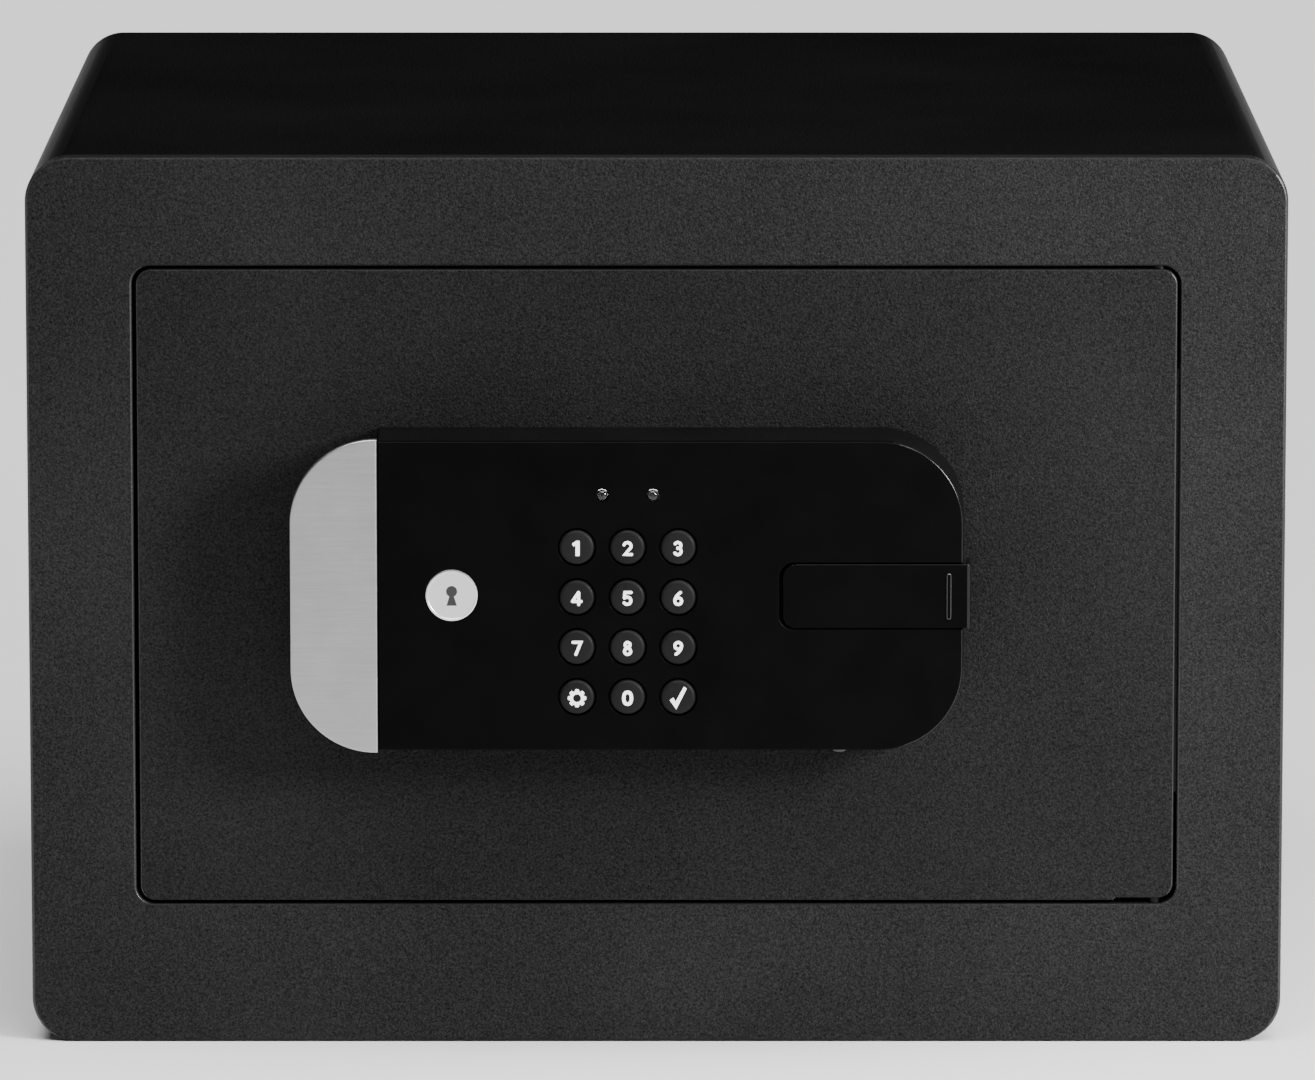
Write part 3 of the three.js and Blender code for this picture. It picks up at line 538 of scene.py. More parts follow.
# rib_highlight_black is a lighter, glossier copy of the panel plastic: a painted highlight.
rib_highlight_black = moulded("rib_highlight_black", 0.010, 0.014, rough=(0.12, 0.18), spec=0.75)
key_black = moulded("key_black", 0.006, 0.009, rough=(0.40, 0.52), spec=0.10, texture=9.0, height=0.008)
glowing_legend_white = moulded("glowing_legend_white", 0.82, 0.88, rough=(0.45, 0.6), spec=0.4)
# The legends are made to glow with emission: painted light.
glowing_legend_white.node_tree.nodes["Principled BSDF"].inputs["Emission Color"].default_value = (1, 1, 1, 1)
glowing_legend_white.node_tree.nodes["Principled BSDF"].inputs["Emission Strength"].default_value = 0.9
brushed = metal("brushed", 0.37, 0.47, rough=(0.28, 0.40), scratch=(0.03, 1, 1), streak=5.5, height=0.006)
badge_metal = metal("badge_metal", 0.90, 0.96, rough=(0.28, 0.36), streak=3.0, height=0.002)
glyph_dark = moulded("glyph_dark", 0.020, 0.030, rough=(0.4, 0.5), spec=0.4)
polished = metal("polished", 0.60, 0.70, rough=(0.12, 0.22), scratch=(1, 0.06, 0.06), streak=4.0, height=0.003)
pin_black = metal("pin_black", 0.012, 0.022, rough=(0.34, 0.46), streak=3.0)
screw_dark = metal("screw_dark", 0.04, 0.07, rough=(0.24, 0.36), streak=3.0)
zinc = metal("zinc", 0.40, 0.56, rough=(0.26, 0.44), streak=1.2, height=0.004, spots=0.5)
brass = metal("brass", (0.42, 0.27, 0.09), (0.60, 0.42, 0.17), rough=(0.24, 0.40), streak=3.0, height=0.004, spots=0.3)
polished_brass = metal("polished_brass", (0.50, 0.34, 0.12), (0.66, 0.47, 0.20), rough=(0.16, 0.28), streak=3.0, height=0.003, spots=0.15)
cover_coat = textured_coat("cover_coat", 0.0060, 0.0230, rough=(0.46, 0.62), spec=0.3, grain=0.8, height=0.10)
cap_black = moulded("cap_black", 0.008, 0.012, rough=(0.34, 0.46), spec=0.4, texture=4.0, height=0.02)
label_pale = moulded("label_pale", 0.52, 0.58, rough=(0.34, 0.46), spec=0.4, texture=3.0, height=0.004)
legend_grey = moulded("legend_grey", 0.30, 0.38, rough=(0.4, 0.5), spec=0.4)
nylon = moulded("nylon", 0.030, 0.045, rough=(0.42, 0.58), spec=0.45, texture=4.0, height=0.012)
wire_black = moulded("wire_black", 0.020, 0.030, rough=(0.38, 0.5), spec=0.5)
red_plastic = moulded("red_plastic", (0.34, 0.008, 0.010), (0.44, 0.012, 0.014), rough=(0.28, 0.38), spec=0.5)


def led_lens():
    m = Mat("led_lens")
    swirl = m.noise(0.8, 2, 0.5)
    return m.set(color=(0.72, 0.73, 0.75), rough=m.range(swirl, 0.3, 0.7, 0.03, 0.07), trans=1.0, ior=1.52)


def felt():
    m = Mat("felt")
    hairs = m.noise(3.0, 5, 0.75, 1.2)
    tufts = m.cells(0.9)
    broad = m.noise(0.03, 3, 0.6)
    color = m.ramp(m.math("ADD", m.math("MULTIPLY", hairs, 0.6), m.math("MULTIPLY", broad, 0.4)), [(0.32, 0.012), (0.70, 0.040)])
    h = m.math("ADD", hairs, m.math("MULTIPLY", tufts, 0.5))
    return m.set(color=color, rough=0.95, spec=0.2, sheen=0.4, sheen_rough=0.5, normal=m.bump(h, 0.5, 1.0))


def circuit():
    m = Mat("circuit")
    weave = m.noise(2.2, 2, 0.5)
    tracks = m.cells(0.42, "DISTANCE_TO_EDGE", randomness=0.55)
    copper = m.range(tracks, 0.04, 0.07, 1.0, 0.0)
    base = m.ramp(weave, [(0.35, (0.006, 0.060, 0.022)), (0.65, (0.010, 0.085, 0.032))])
    color = m.mix(m.math("MULTIPLY", copper, 0.6), base, (0.030, 0.150, 0.055))
    return m.set(color=color, rough=m.range(weave, 0.3, 0.7, 0.22, 0.34), spec=0.5, coat=0.3, coat_rough=0.15, normal=m.bump(copper, 0.03, 1.0))


def cell_jacket():
    m = Mat("cell_jacket")
    z = m.xyz(2)
    scuff = m.noise(0.6, 4, 0.65)
    pale, green = (0.34, 0.35, 0.36), (0.018, 0.085, 0.055)
    base = m.ramp(m.range(z, 60.0, 110.0, 0.0, 1.0), [(0.0, pale), (0.12, pale), (0.13, green), (0.87, green), (0.88, pale), (1.0, pale)])
    color = m.mix(m.range(scuff, 0.45, 0.75, 0.0, 0.07), base, (0.20, 0.20, 0.20))
    return m.set(color=color, rough=m.range(scuff, 0.3, 0.7, 0.2, 0.34), spec=0.5, coat=0.4, coat_rough=0.1, normal=m.bump(scuff, 0.01, 1.0))


lens, carpet, board, cell = led_lens(), felt(), circuit(), cell_jacket()

# ---------------------------------------------------------------- body
opening = rrect(*OPENING, 5.0, 10)
bores = [
    turned([(0, 210.0), (1.95, 210.0), (1.95, 227.2), (0, 227.2)], (HINGE_X, HINGE_Y, 0), "z", 24),
    turned([(0, 31.0), (1.95, 31.0), (1.95, 48.5), (0, 48.5)], (HINGE_X, HINGE_Y, 0), "z", 24),
]
shell = plate(rrect(-175, 0, 175, 250, 12.5, 18), FACE + 6.2, BACK, 0.25, 0.7,
              holes=[rrect(-173, 2, 173, 248, 10.5, 18)], hole_f=(0.2, 0.4), seg=4)
anchors = [turned([(0, -2), (6, -2), (6, 5), (0, 5)], (x, 20, 0), "z", 40) for x in (-105, 105)]
# The case's top and its rounded upper edges take darker copies of the coat as painted shade; the sides, back and
# underside take side_coat.
finish("body_shell", solve(shell, anchors), [corner_shade_coat, inner_coat, top_painted_shade_coat, side_coat], "cabinet", "body_shell",
       edges=lambda c, n: 1 if abs(c.x) < 173.2 and 1.95 < c.z < 248.05 and c.y < BACK - 0.6 else 2 if n.z > 0.985 else 3 if n.z < 0.32 else 0)
finish("back_panel",
       plate(rrect(-172.7, 2.3, 172.7, 247.7, 10.2, 14), BACK - 2, BACK, 0.2, 0.35,
             holes=[circle(-105, 190, 6, 40), circle(105, 190, 6, 40)], seg=3),
       [side_coat, inner_coat], "cabinet", "back_panel", edges=lambda c, n: 1 if n.y < -0.5 else 0)
front = plate(rrect(-175, 0, 175, 250, 12.5, 18), FACE, FACE + 6, 1.1, 0.4,
              holes=[opening], hole_f=(0.8, 0.3), seg=6)
# Front and back faces take the coat. Left- and right-facing edges take frame_edge_highlight, a lighter, glossier copy,
# as a painted highlight. Up- and down-facing edges take frame_lip.
edge = lambda c, n: 0 if n.y < -0.93 or n.y > 0.5 else 1 if abs(n.x) > 0.3 else 2
finish("front_frame", solve(front, bores), [frame_coat, frame_edge_highlight, frame_lip], "cabinet", "front_frame", edges=edge)

# ---------------------------------------------------------------- door plate
r = 4.2
x0, z0, x1, z1 = DOOR
door_outline = clean(
    rrect(x0, z0, x1, z1, r, 9)[:10]
    + [(x1 - 16.7, z0), (x1 - 16.0, z0 + 0.7)]
    + rrect(x0, z0 + 0.7, x1, z1, r, 9)[10:]
)
door = plate(door_outline, FACE, DOOR_BACK, 0.62, 0.35, seg=5, hole_f=(0.2, 0.2), holes=[
    circle(*LOCK, 8.4, 40), circle(8, 158, 5, 28), circle(-71.6, PANEL_MID, 2.3, 20), circle(79.4, 108, 2.3, 20),
])
bores = [
    turned([(0, 211.0), (2.05, 211.0), (2.05, 221.0), (0, 221.0)], (HINGE_X, HINGE_Y, 0), "z", 24),
    turned([(0, 38.0), (2.05, 38.0), (2.05, 48.0), (0, 48.0)], (HINGE_X, HINGE_Y, 0), "z", 24),
]
COVER_SCREWS = [(-104, 50), (104, 50), (-104, 209), (104, 209)]
bores += [turned([(0, DOOR_BACK - 4), (2.0, DOOR_BACK - 4), (2.0, DOOR_BACK + 1), (0, DOOR_BACK + 1)], (x, 0, z), "y", 20) for x, z in COVER_SCREWS]
finish("door_plate", solve(door, bores), [door_coat, frame_edge_highlight, frame_lip], "door", "door_plate", edges=edge)

# ---------------------------------------------------------------- keypad panel


def rim(c, n):
    """The right-facing sides of the face, outside the channel, which take a lighter, glossier copy of its plastic as a
    painted highlight.
    """
    return 1 if abs(n.y) < 0.97 and n.x > 0.15 and c.x > 50 and abs(c.z - PANEL_MID) > 9.4 else 0


panel_outline = rrect(*PANEL, [0.6, PANEL_R, PANEL_R, 0.6], 20)
wall = plate(panel_outline, PANEL_Y + 2.55, FACE - 0.15, 0.05, 0.25, seg=2, draft=(-0.35, 0.55),
             holes=[rrect(PANEL[0] + 2.2, PANEL[1] + 2.2, PANEL[2] - 2.2, PANEL[3] - 2.2, [1, PANEL_R - 2.2, PANEL_R - 2.2, 1], 14)], hole_f=(0, 0))
shelf = plate(rrect(-100.3, 88.0, -77.3, 173.5, [22.0, 0, 0, 22.0], 16), PANEL_Y + 0.6, PANEL_Y + 5, 0.2, 0.6, seg=3)
root = block((-81, PANEL_Y + 2.7, 89.5), (-76, PANEL_Y + 5, 172))
boss = [turned([(0, PANEL_Y + 2.7), (4.2, PANEL_Y + 2.7), (4.2, FACE - 0.3), (0, FACE - 0.3)], (x, 0, z), "y", 28) for x, z in ((-71.6, PANEL_MID), (79.4, 108))]
housing = solve(wall, [shelf, root, *boss], "UNION")
housing = solve(housing, [
    block((81.8, PANEL_Y + 1.6, PANEL_MID - 10.1), (86, PANEL_Y + 4.0, PANEL_MID + 10.1)),
    turned([(0, PANEL[1] - 1), (1.5, PANEL[1] - 1), (1.5, PANEL[1] + 3), (0, PANEL[1] + 3)], (50.7, PANEL_Y + 5.6, 0), "z", 20),
    *[turned([(0, FACE - 14), (2.1, FACE - 14), (2.1, FACE + 1), (0, FACE + 1)], (x, 0, z), "y", 20) for x, z in ((-71.6, PANEL_MID), (79.4, 108))],
])
finish("panel_housing", housing, side_black, "door", "panel_housing")

# The face's outline runs round the cover's channel.
c0, c1, cx = PANEL_MID - SLIDE_HALF - 0.35, PANEL_MID + SLIDE_HALF + 0.35, 34.0
channel = rrect(cx, c0, 95, c1, [3.9, 0, 0, 3.9], 10)
left_arc_low = [p for p in channel if p[0] < 60 and p[1] < PANEL_MID]
left_arc_high = [p for p in channel if p[0] < 60 and p[1] > PANEL_MID]
face_outline = rrect(PANEL[0] + 0.05, PANEL[1] + 0.05, PANEL[2] - 0.35, PANEL[3] - 0.05, [0, PANEL_R, PANEL_R, 0], 20)
low = [p for p in face_outline if p[1] < PANEL_MID]
high = [p for p in face_outline if p[1] > PANEL_MID]
# rrect starts at the low left corner: low left, low right, then high right, high left
notch = (
    [(PANEL[2] - 0.35, c0)]
    + sorted(left_arc_low, key=lambda p: (-p[0], p[1]))
    + sorted(left_arc_high, key=lambda p: (p[0], p[1]))
    + [(PANEL[2] - 0.35, c1)]
)
face_outline = clean(low + notch + high)
key_at = [(KEY_X + c * KEY_PITCH, KEY_Z - r * KEY_PITCH) for r in range(4) for c in range(3)]
LEDS = ((-15.0, 159.0), (-1.0, 159.0))
face = plate(face_outline, PANEL_Y, PANEL_Y + 2.5, 0.55, 0.0, seg=5, hole_f=(0.22, 0.0),
             holes=[circle(x, z, 5.28, 48) for x, z in key_at] + [circle(x, z, 1.8, 28) for x, z in LEDS])
dish = turned([(0, PANEL_Y - 1), (7.42, PANEL_Y - 1), (7.42, PANEL_Y + 0.7), (0, PANEL_Y + 0.7)], (-56.6, 0, PANEL_MID + 0.3), "y", 72)
face = solve(face, [dish])
tray = plate(rrect(31, 118.95, 82.4, 142.55, 0.8, 3), PANEL_Y + 4.05, PANEL_Y + 5.6, 0, 0.3, seg=2,
             holes=[circle(*LOCK, 8.3, 40)], hole_f=(0.2, 0.2))
rails = prism([(31, 118.95), (82.4, 118.95), (82.4, PANEL_MID - 10.4), (36, PANEL_MID - 10.4), (32.5, PANEL_MID - 6), (32.5, PANEL_MID + 6), (36, PANEL_MID + 10.4), (82.4, PANEL_MID + 10.4), (82.4, 142.55), (31, 142.55)], "xz", PANEL_Y + 2.4, PANEL_Y + 4.2)
face = solve(face, [tray, rails], "UNION")
# The face's right-facing sides take edge_highlight_black as a painted highlight.
finish("panel_face", face, [panel_black, edge_highlight_black], "door", "panel_face", edges=rim)

# Metal pull grip.
finish("grip_plate",
       plate(rrect(-101.2, 87.1, -77.15, 174.8, [23.45, 0, 0, 23.45], 28), FRONT, PANEL_Y + 0.4, 0.45, 0.25, seg=4),
       brushed, "door", "grip_plate")

# Badge: a plain disc with a rim and a keyhole.
B = (-56.6, 0, PANEL_MID + 0.3)
finish("badge_disc",
       turned([(0, PANEL_Y - 0.22), (6.5, PANEL_Y - 0.22), (6.62, PANEL_Y - 0.30), (6.95, PANEL_Y - 0.30),
               (7.12, PANEL_Y - 0.24), (7.2, PANEL_Y - 0.1), (7.2, PANEL_Y + 0.6), (0, PANEL_Y + 0.6)], B, "y", 96),
       badge_metal, "door", "badge_disc")
hole = [(B[0] + 1.55 * math.sin(a), B[2] + 1.1 + 1.55 * math.cos(a)) for a in [math.radians(d) for d in range(-155, 156, 10)]]
keyhole = clean(list(reversed(hole + [(B[0] + 1.45, B[2] - 2.9), (B[0] - 1.45, B[2] - 2.9)])))
finish("badge_keyhole", plate(keyhole, PANEL_Y - 0.27, PANEL_Y - 0.1, 0.03, 0, seg=1), glyph_dark, "door", None)

# Lights: a clear dome over a dark cup, with a bright metal crescent in the top of the cup as a painted highlight.
for side, (x, z) in zip(("left", "right"), LEDS):
    dome = [(1.65 * math.sin(a), PANEL_Y + 0.35 - 1.25 * math.cos(a)) for a in [math.radians(d) for d in range(0, 91, 9)]]
    finish("led_" + side, turned(dome + [(1.65, PANEL_Y + 2.6), (0, PANEL_Y + 2.6)], (x, 0, z), "y", 32), lens, "door", "led_" + side)
    cup = [(0, PANEL_Y + 3.6), (0.5, PANEL_Y + 3.6), (1.25, PANEL_Y + 2.75), (1.5, PANEL_Y + 2.72), (1.5, PANEL_Y + 4.2), (0, PANEL_Y + 4.2)]
    finish("led_cup_" + side, turned(cup, (x, 0, z), "y", 28), panel_black, "door", None)

    # The crescent is a painted highlight on the upper part of each light.
    arc = [math.radians(d) for d in range(35, 146, 10)]
    crescent = [(x + 1.28 * math.cos(a), z + 1.28 * math.sin(a)) for a in arc] + [(x + 0.80 * math.cos(a), z - 0.05 + 0.62 * math.sin(a)) for a in reversed(arc)]
    finish("led_painted_highlight_" + side, plate(crescent, PANEL_Y + 2.62, PANEL_Y + 3.3, 0.06, 0, seg=2), badge_metal, "door", None)

# Keys.
NAMES = ["1", "2", "3", "4", "5", "6", "7", "8", "9", "settings", "0", "enter"]
key_profile = [(0, -0.82), (1.3, -0.81), (2.6, -0.775), (3.6, -0.71), (4.10, -0.63), (4.42, -0.50), (4.62, -0.30), (4.74, 0.0), (4.80, 0.5), (4.80, 2.9), (6, 2.9), (6, 4.2), (2.2, 4.2), (2.2, 7.0), (0, 7.0)]


HALF = 0.41  # half the stroke of a legend


def ribbon(path, half=HALF):
    """A stroke with round ends along a path of (x, z) points."""
    pts = [Vector(p) for p in clean(path)]
    left, right = [], []
    for i, p in enumerate(pts):
        e0 = (p - pts[i - 1]).normalized() if i else (pts[1] - p).normalized()
        e1 = (pts[i + 1] - p).normalized() if i < len(pts) - 1 else e0
        n0, m = Vector((-e0.y, e0.x)), Vector((-e0.y - e1.y, e0.x + e1.x)).normalized()
        k = half / max(0.5, m.dot(n0))
        left.append(p + m * k)
        right.append(p - m * k)

    def round_end(p, away):
        a0 = math.atan2(away.y, away.x)
        return [p + Vector((math.cos(a0 + math.radians(d)), math.sin(a0 + math.radians(d)))) * half for d in range(-70, 71, 20)]

    start, end = (pts[0] - pts[1]).normalized(), (pts[-1] - pts[-2]).normalized()
    loop = right + round_end(pts[-1], end) + list(reversed(left)) + round_end(pts[0], start)
    return clean([(p.x, p.y) for p in loop])


def bend(cx, cz, r, a0, a1, step=12):
    n = max(2, round(abs(a1 - a0) / step))
    return [(cx + r * math.cos(math.radians(a0 + (a1 - a0) * i / n)), cz + r * math.sin(math.radians(a0 + (a1 - a0) * i / n))) for i in range(n + 1)]


def oval(rx, rz, n=40, power=1.0):
    out = []
    for i in range(n):
        c, s_ = math.cos(2 * math.pi * i / n), math.sin(2 * math.pi * i / n)
        out.append((rx * math.copysign(abs(c) ** power, c), rz * math.copysign(abs(s_) ** power, s_)))
    return out


SIX_TAIL = [(0.62, 1.66), (0.05, 1.22), (-0.45, 0.66), (-0.80, 0.02), (-0.93, -0.72)]
STROKES = {
    "2": [bend(-0.02, 0.66, 1.0, 160, -32) + [(-0.72, -1.68), (1.12, -1.68)]],
    "3": [bend(-0.12, 0.86, 0.84, 148, -92), bend(-0.12, -0.80, 0.92, 92, -150)],
    "4": [[(0.50, -1.70), (0.50, 1.62)], [(-1.18, -0.84), (1.16, -0.84)], [(0.42, 1.66), (-1.20, -0.80)]],
    "5": [[(0.98, 1.68), (-0.72, 1.68), (-0.86, 0.10)], bend(-0.10, -0.62, 1.02, 132, -146)],
    "6": [SIX_TAIL],
    "7": [[(-1.10, 1.68), (1.08, 1.68), (-0.28, -1.70)]],
    "9": [[(-x_, -z_) for x_, z_ in SIX_TAIL]],
}
RINGS = {"6": [(0, -0.74, 0.93)], "9": [(0, 0.74, 0.93)], "8": [(0, 1.00, 0.68), (0, -0.84, 0.86)]}


def digit(text):
    if text == "0":
        return plate(oval(1.52, 2.14, 40, 0.86), -0.06, 0.06, 0.02, 0, seg=1, holes=[oval(0.58, 1.18, 32, 0.86)])
    if text == "8":
        (_, z1_, r1_), (_, z2_, r2_) = sorted(RINGS["8"], key=lambda ring: -ring[1])
        ra, rb, gap = r1_ + HALF, r2_ + HALF, z1_ - z2_
        down = (ra * ra - rb * rb + gap * gap) / (2 * gap)
        out = math.sqrt(ra * ra - down * down)
        t1, t2 = math.atan2(-down, out), math.atan2(gap - down, out)
        loop = [(ra * math.cos(t), z1_ + ra * math.sin(t)) for t in [t1 + (math.pi - 2 * t1) * i / 26 for i in range(27)]]
        loop += [(rb * math.cos(t), z2_ + rb * math.sin(t)) for t in [math.pi - t2 + (math.pi + 2 * t2) * i / 28 for i in range(1, 28)]]
        return plate(clean(loop), -0.06, 0.06, 0.02, 0, seg=1, holes=[circle(cx_, cz_, r_ - HALF, 28) for cx_, cz_, r_ in RINGS["8"]])
    solids = [plate(ribbon(path), -0.06, 0.06) for path in STROKES.get(text, [])]
    solids += [plate(circle(cx_, cz_, r_ + HALF, 40), -0.06, 0.06) for cx_, cz_, r_ in RINGS.get(text, [])]
    made = solids[0] if len(solids) == 1 else solve(solids[0], solids[1:], "UNION")
    holes = [plate(circle(cx_, cz_, r_ - HALF, 28), -0.2, 0.2) for cx_, cz_, r_ in RINGS.get(text, [])]
    return solve(made, holes) if holes else made


def gear(r_out, r_in, teeth=8):
    pts = []
    for i in range(teeth):
        for da, rr in ((-0.30, r_in), (-0.20, r_out), (-0.1, r_out * 1.02), (0.1, r_out * 1.02), (0.20, r_out), (0.30, r_in)):
            a = 2 * math.pi * i / teeth + da
            pts.append((rr * math.cos(a), rr * math.sin(a)))
    return pts


for (x, z), name in zip(key_at, NAMES):
    node = "key_" + name
    finish(node, turned([(rr, PANEL_Y + t) for rr, t in key_profile], (x, 0, z), "y", 64), key_black, node + "_body", node)
    if name == "settings":
        bm = plate(gear(2.50, 2.00), -0.06, 0.06, 0.02, 0, seg=1, holes=[circle(0, 0, 1.12, 32)])
    elif name == "1":
        bm = plate([(-0.35, -2.1), (0.72, -2.1), (0.78, -2.04), (0.78, 2.02), (0.66, 2.14), (-0.12, 2.14), (-1.22, 1.42), (-1.30, 1.22), (-0.98, 0.66), (-0.80, 0.60), (-0.35, 0.90)], -0.06, 0.06, 0.02, 0, seg=1)
    elif name == "enter":
        bm = plate([(-2.3, -0.55), (-1.35, 0.15), (-0.72, -1.0), (1.55, 3.2), (2.35, 2.75), (-0.55, -3.1)], -0.06, 0.06, 0.02, 0, seg=1)
    else:
        bm = digit(name)
    for v in bm.verts:
        v.co += Vector((x, PANEL_Y - 0.80, z - 0.2))
    finish("legend_" + name, bm, glowing_legend_white, node + "_body", None, sharp=30)

# Override cover: a folded strip with a thumb rib.
prof = [(35.0, PANEL_Y - 0.2)] + [(86.9 - 1.3 + 1.3 * math.sin(a), PANEL_Y - 0.2 + 1.3 - 1.3 * math.cos(a)) for a in [math.radians(d) for d in range(0, 91, 10)]]
prof += [(86.9, PANEL_Y + 12), (85.75, PANEL_Y + 12), (85.75, PANEL_Y + 2.0), (35.0, PANEL_Y + 2.0)]
strip = prism(prof, "xy", PANEL_MID - SLIDE_HALF, PANEL_MID + SLIDE_HALF)
ends = prism(rrect(35.0, PANEL_MID - SLIDE_HALF, 90, PANEL_MID + SLIDE_HALF, [3.5, 0, 0, 3.5], 10), "xz", PANEL_Y - 5, PANEL_Y + 15)
strip = solve(strip, [ends], "INTERSECT")
web = block((37.5, PANEL_Y + 1.9, PANEL_MID - 8.6), (84.0, PANEL_Y + 2.8, PANEL_MID + 8.6))
flange = block((37, PANEL_Y + 2.7, PANEL_MID - 9.9), (84.2, PANEL_Y + 3.75, PANEL_MID + 9.9))
strip = solve(strip, [web, flange], "UNION")
# All the cover's sides take edge_highlight_black, a lighter, glossier copy of its plastic, as a painted highlight.
finish("override_cover", strip, [panel_black, edge_highlight_black], "key_cover", "override_cover", bevel=0.28, bevel_seg=3, sharp=30, edges=lambda c, n: 0 if abs(n.y) > 0.97 else 1)
# The rib's sides take rib_highlight_black, a lighter, glossier copy of the plastic, as a painted highlight.
finish("cover_rib", plate(rrect(80.05, PANEL_MID - 6.5, 81.55, PANEL_MID + 6.5, 0.6, 5), PANEL_Y - 0.75, PANEL_Y - 0.1, 0.5, 0, seg=5),
       [panel_black, rib_highlight_black], "key_cover", None, edges=lambda c, n: 0 if n.y < -0.97 else 1)


# ---------------------------------------------------------------- inside: stops, hinge, mat
for name in ("keeper_bar", "door_stop_top", "door_stop_bottom"):
    dress(name, inner_coat, 0.45, 3)
dress("dog_bar", inner_coat, 0.4, 3)
for name in ("hinge_pin_top", "hinge_pin_bottom"):
    dress(name, pin_black, 0.15)

mat_outline = rrect(-160, -123.5, 160, 156.5, 6, 12)
mat = plate([(x, z) for x, z in mat_outline], 0, 2.5, 0.7, 0.25, seg=4, hole_f=(0.35, 0.1),
            holes=[circle(-105, 20, 7.5, 40), circle(105, 20, 7.5, 40)])
for v in mat.verts:
    x, y, z = v.co
    v.co = Vector((x, z, 4.7 - y))
finish("floor_mat", mat, carpet, "cabinet", "floor_mat", sharp=50)

# ---------------------------------------------------------------- screws
def cross_screw(head, height, shank, length, at, axis="y", flip=1, recess=0.9):
    """A pan-head screw with a cross recess. Its head stands out along the axis from at."""
    dome = [(head * math.cos(a), height * (0.42 + 0.58 * math.sin(a))) for a in [math.radians(d) for d in range(0, 91, 15)]]
    prof = [(0, -length), (shank * 0.6, -length), (shank, -length + shank * 0.7), (shank, 0.02), (head, 0.02)] + dome
    prof[-1] = (0, prof[-1][1])
    bm = turned([(r_, t * flip) for r_, t in prof], (0, 0, 0), "y", 40)
    tools = []
    w = head * 0.2
    for lo, hi in (((-head * 0.58, height * 0.35, -w / 2), (head * 0.58, height * 1.4, w / 2)), ((-w / 2, height * 0.35, -head * 0.58), (w / 2, height * 1.4, head * 0.58))):
        t = block(lo, hi)
        for v in t.verts:
            v.co.y *= flip
            if v.co.y * flip < height * 0.5:
                v.co.x *= recess * 0.55
                v.co.z *= recess * 0.55
        tools.append(t)
    bm = solve(bm, tools)
    turn = Matrix.Rotation(random.uniform(0, math.pi / 2), 3, "Y")
    for v in bm.verts:
        c = turn @ v.co
        if axis == "z":
            c = Vector((c.x, -c.z, c.y))
        v.co = c + Vector(at)
    return bm


COVER_FRONT = DOOR_BACK + 0.2
for i, (x, z) in enumerate(COVER_SCREWS):
    finish(f"cover_screw_{i + 1}", cross_screw(3.3, 2.3, 1.7, 5.0, (x, COVER_FRONT + 1.55, z)), zinc, "door", f"cover_screw_{i + 1}")
for side, (x, z) in zip(("left", "right"), ((-71.6, PANEL_MID), (79.4, 108))):
    finish("panel_screw_" + side, cross_screw(3.6, 2.3, 1.8, 17.6, (x, DOOR_BACK + 0.17, z)), zinc, "door", "panel_screw_" + side)
finish("underside_screw", cross_screw(2.4, 1.5, 1.2, 4.8, (50.7, PANEL_Y + 5.6, PANEL[1] - 0.12), "z", -1), screw_dark, "door", "underside_screw")

# ---------------------------------------------------------------- override lock
cyl = [(6.05, PANEL_Y + 4.5), (6.3, PANEL_Y + 4.25), (7.4, PANEL_Y + 4.25), (7.75, PANEL_Y + 4.4), (7.95, PANEL_Y + 4.8),
       (7.95, FACE + 17.6), (7.6, FACE + 17.95), (6.3, FACE + 17.95), (6.05, FACE + 17.7)]
bm = bmesh.new()
rings = [[bm.verts.new((LOCK[0] + rr * math.cos(2 * math.pi * i / 64), y, LOCK[1] + rr * math.sin(2 * math.pi * i / 64))) for i in range(64)] for rr, y in cyl]
for a_, b_ in zip(rings, rings[1:] + rings[:1]):
    for i in range(64):
        bm.faces.new([a_[i], a_[(i + 1) % 64], b_[(i + 1) % 64], b_[i]])
finish("lock_cylinder", bm, polished_brass, "door", "lock_cylinder")
plug = turned([(0, PANEL_Y + 4.62), (4.9, PANEL_Y + 4.62), (5.45, PANEL_Y + 4.75), (5.68, PANEL_Y + 5.1), (5.68, FACE + 17.3),
               (5.4, FACE + 17.5), (2.4, FACE + 17.5), (2.4, FACE + 24.2), (2.1, FACE + 24.5), (0, FACE + 24.5)], (LOCK[0], 0, LOCK[1]), "y", 56)
X, Z = LOCK
keyway = [(X - 0.55, Z - 4.1), (X + 0.75, Z - 4.1), (X + 0.75, Z - 1.6), (X + 0.25, Z - 0.9), (X + 0.25, Z + 0.6), (X + 0.85, Z + 1.2), (X + 0.85, Z + 4.1), (X - 0.35, Z + 4.1), (X - 0.85, Z + 3.4), (X - 0.85, Z + 0.2), (X - 0.35, Z - 0.5)]
finish("lock_plug", solve(plug, [prism(keyway, "xz", PANEL_Y, PANEL_Y + 26)]), polished_brass, "override_plug", "lock_plug", bevel=0.1)
dress("lock_cam", zinc, 0.3)
dress("cylinder_nut", zinc, 0.45, 3)

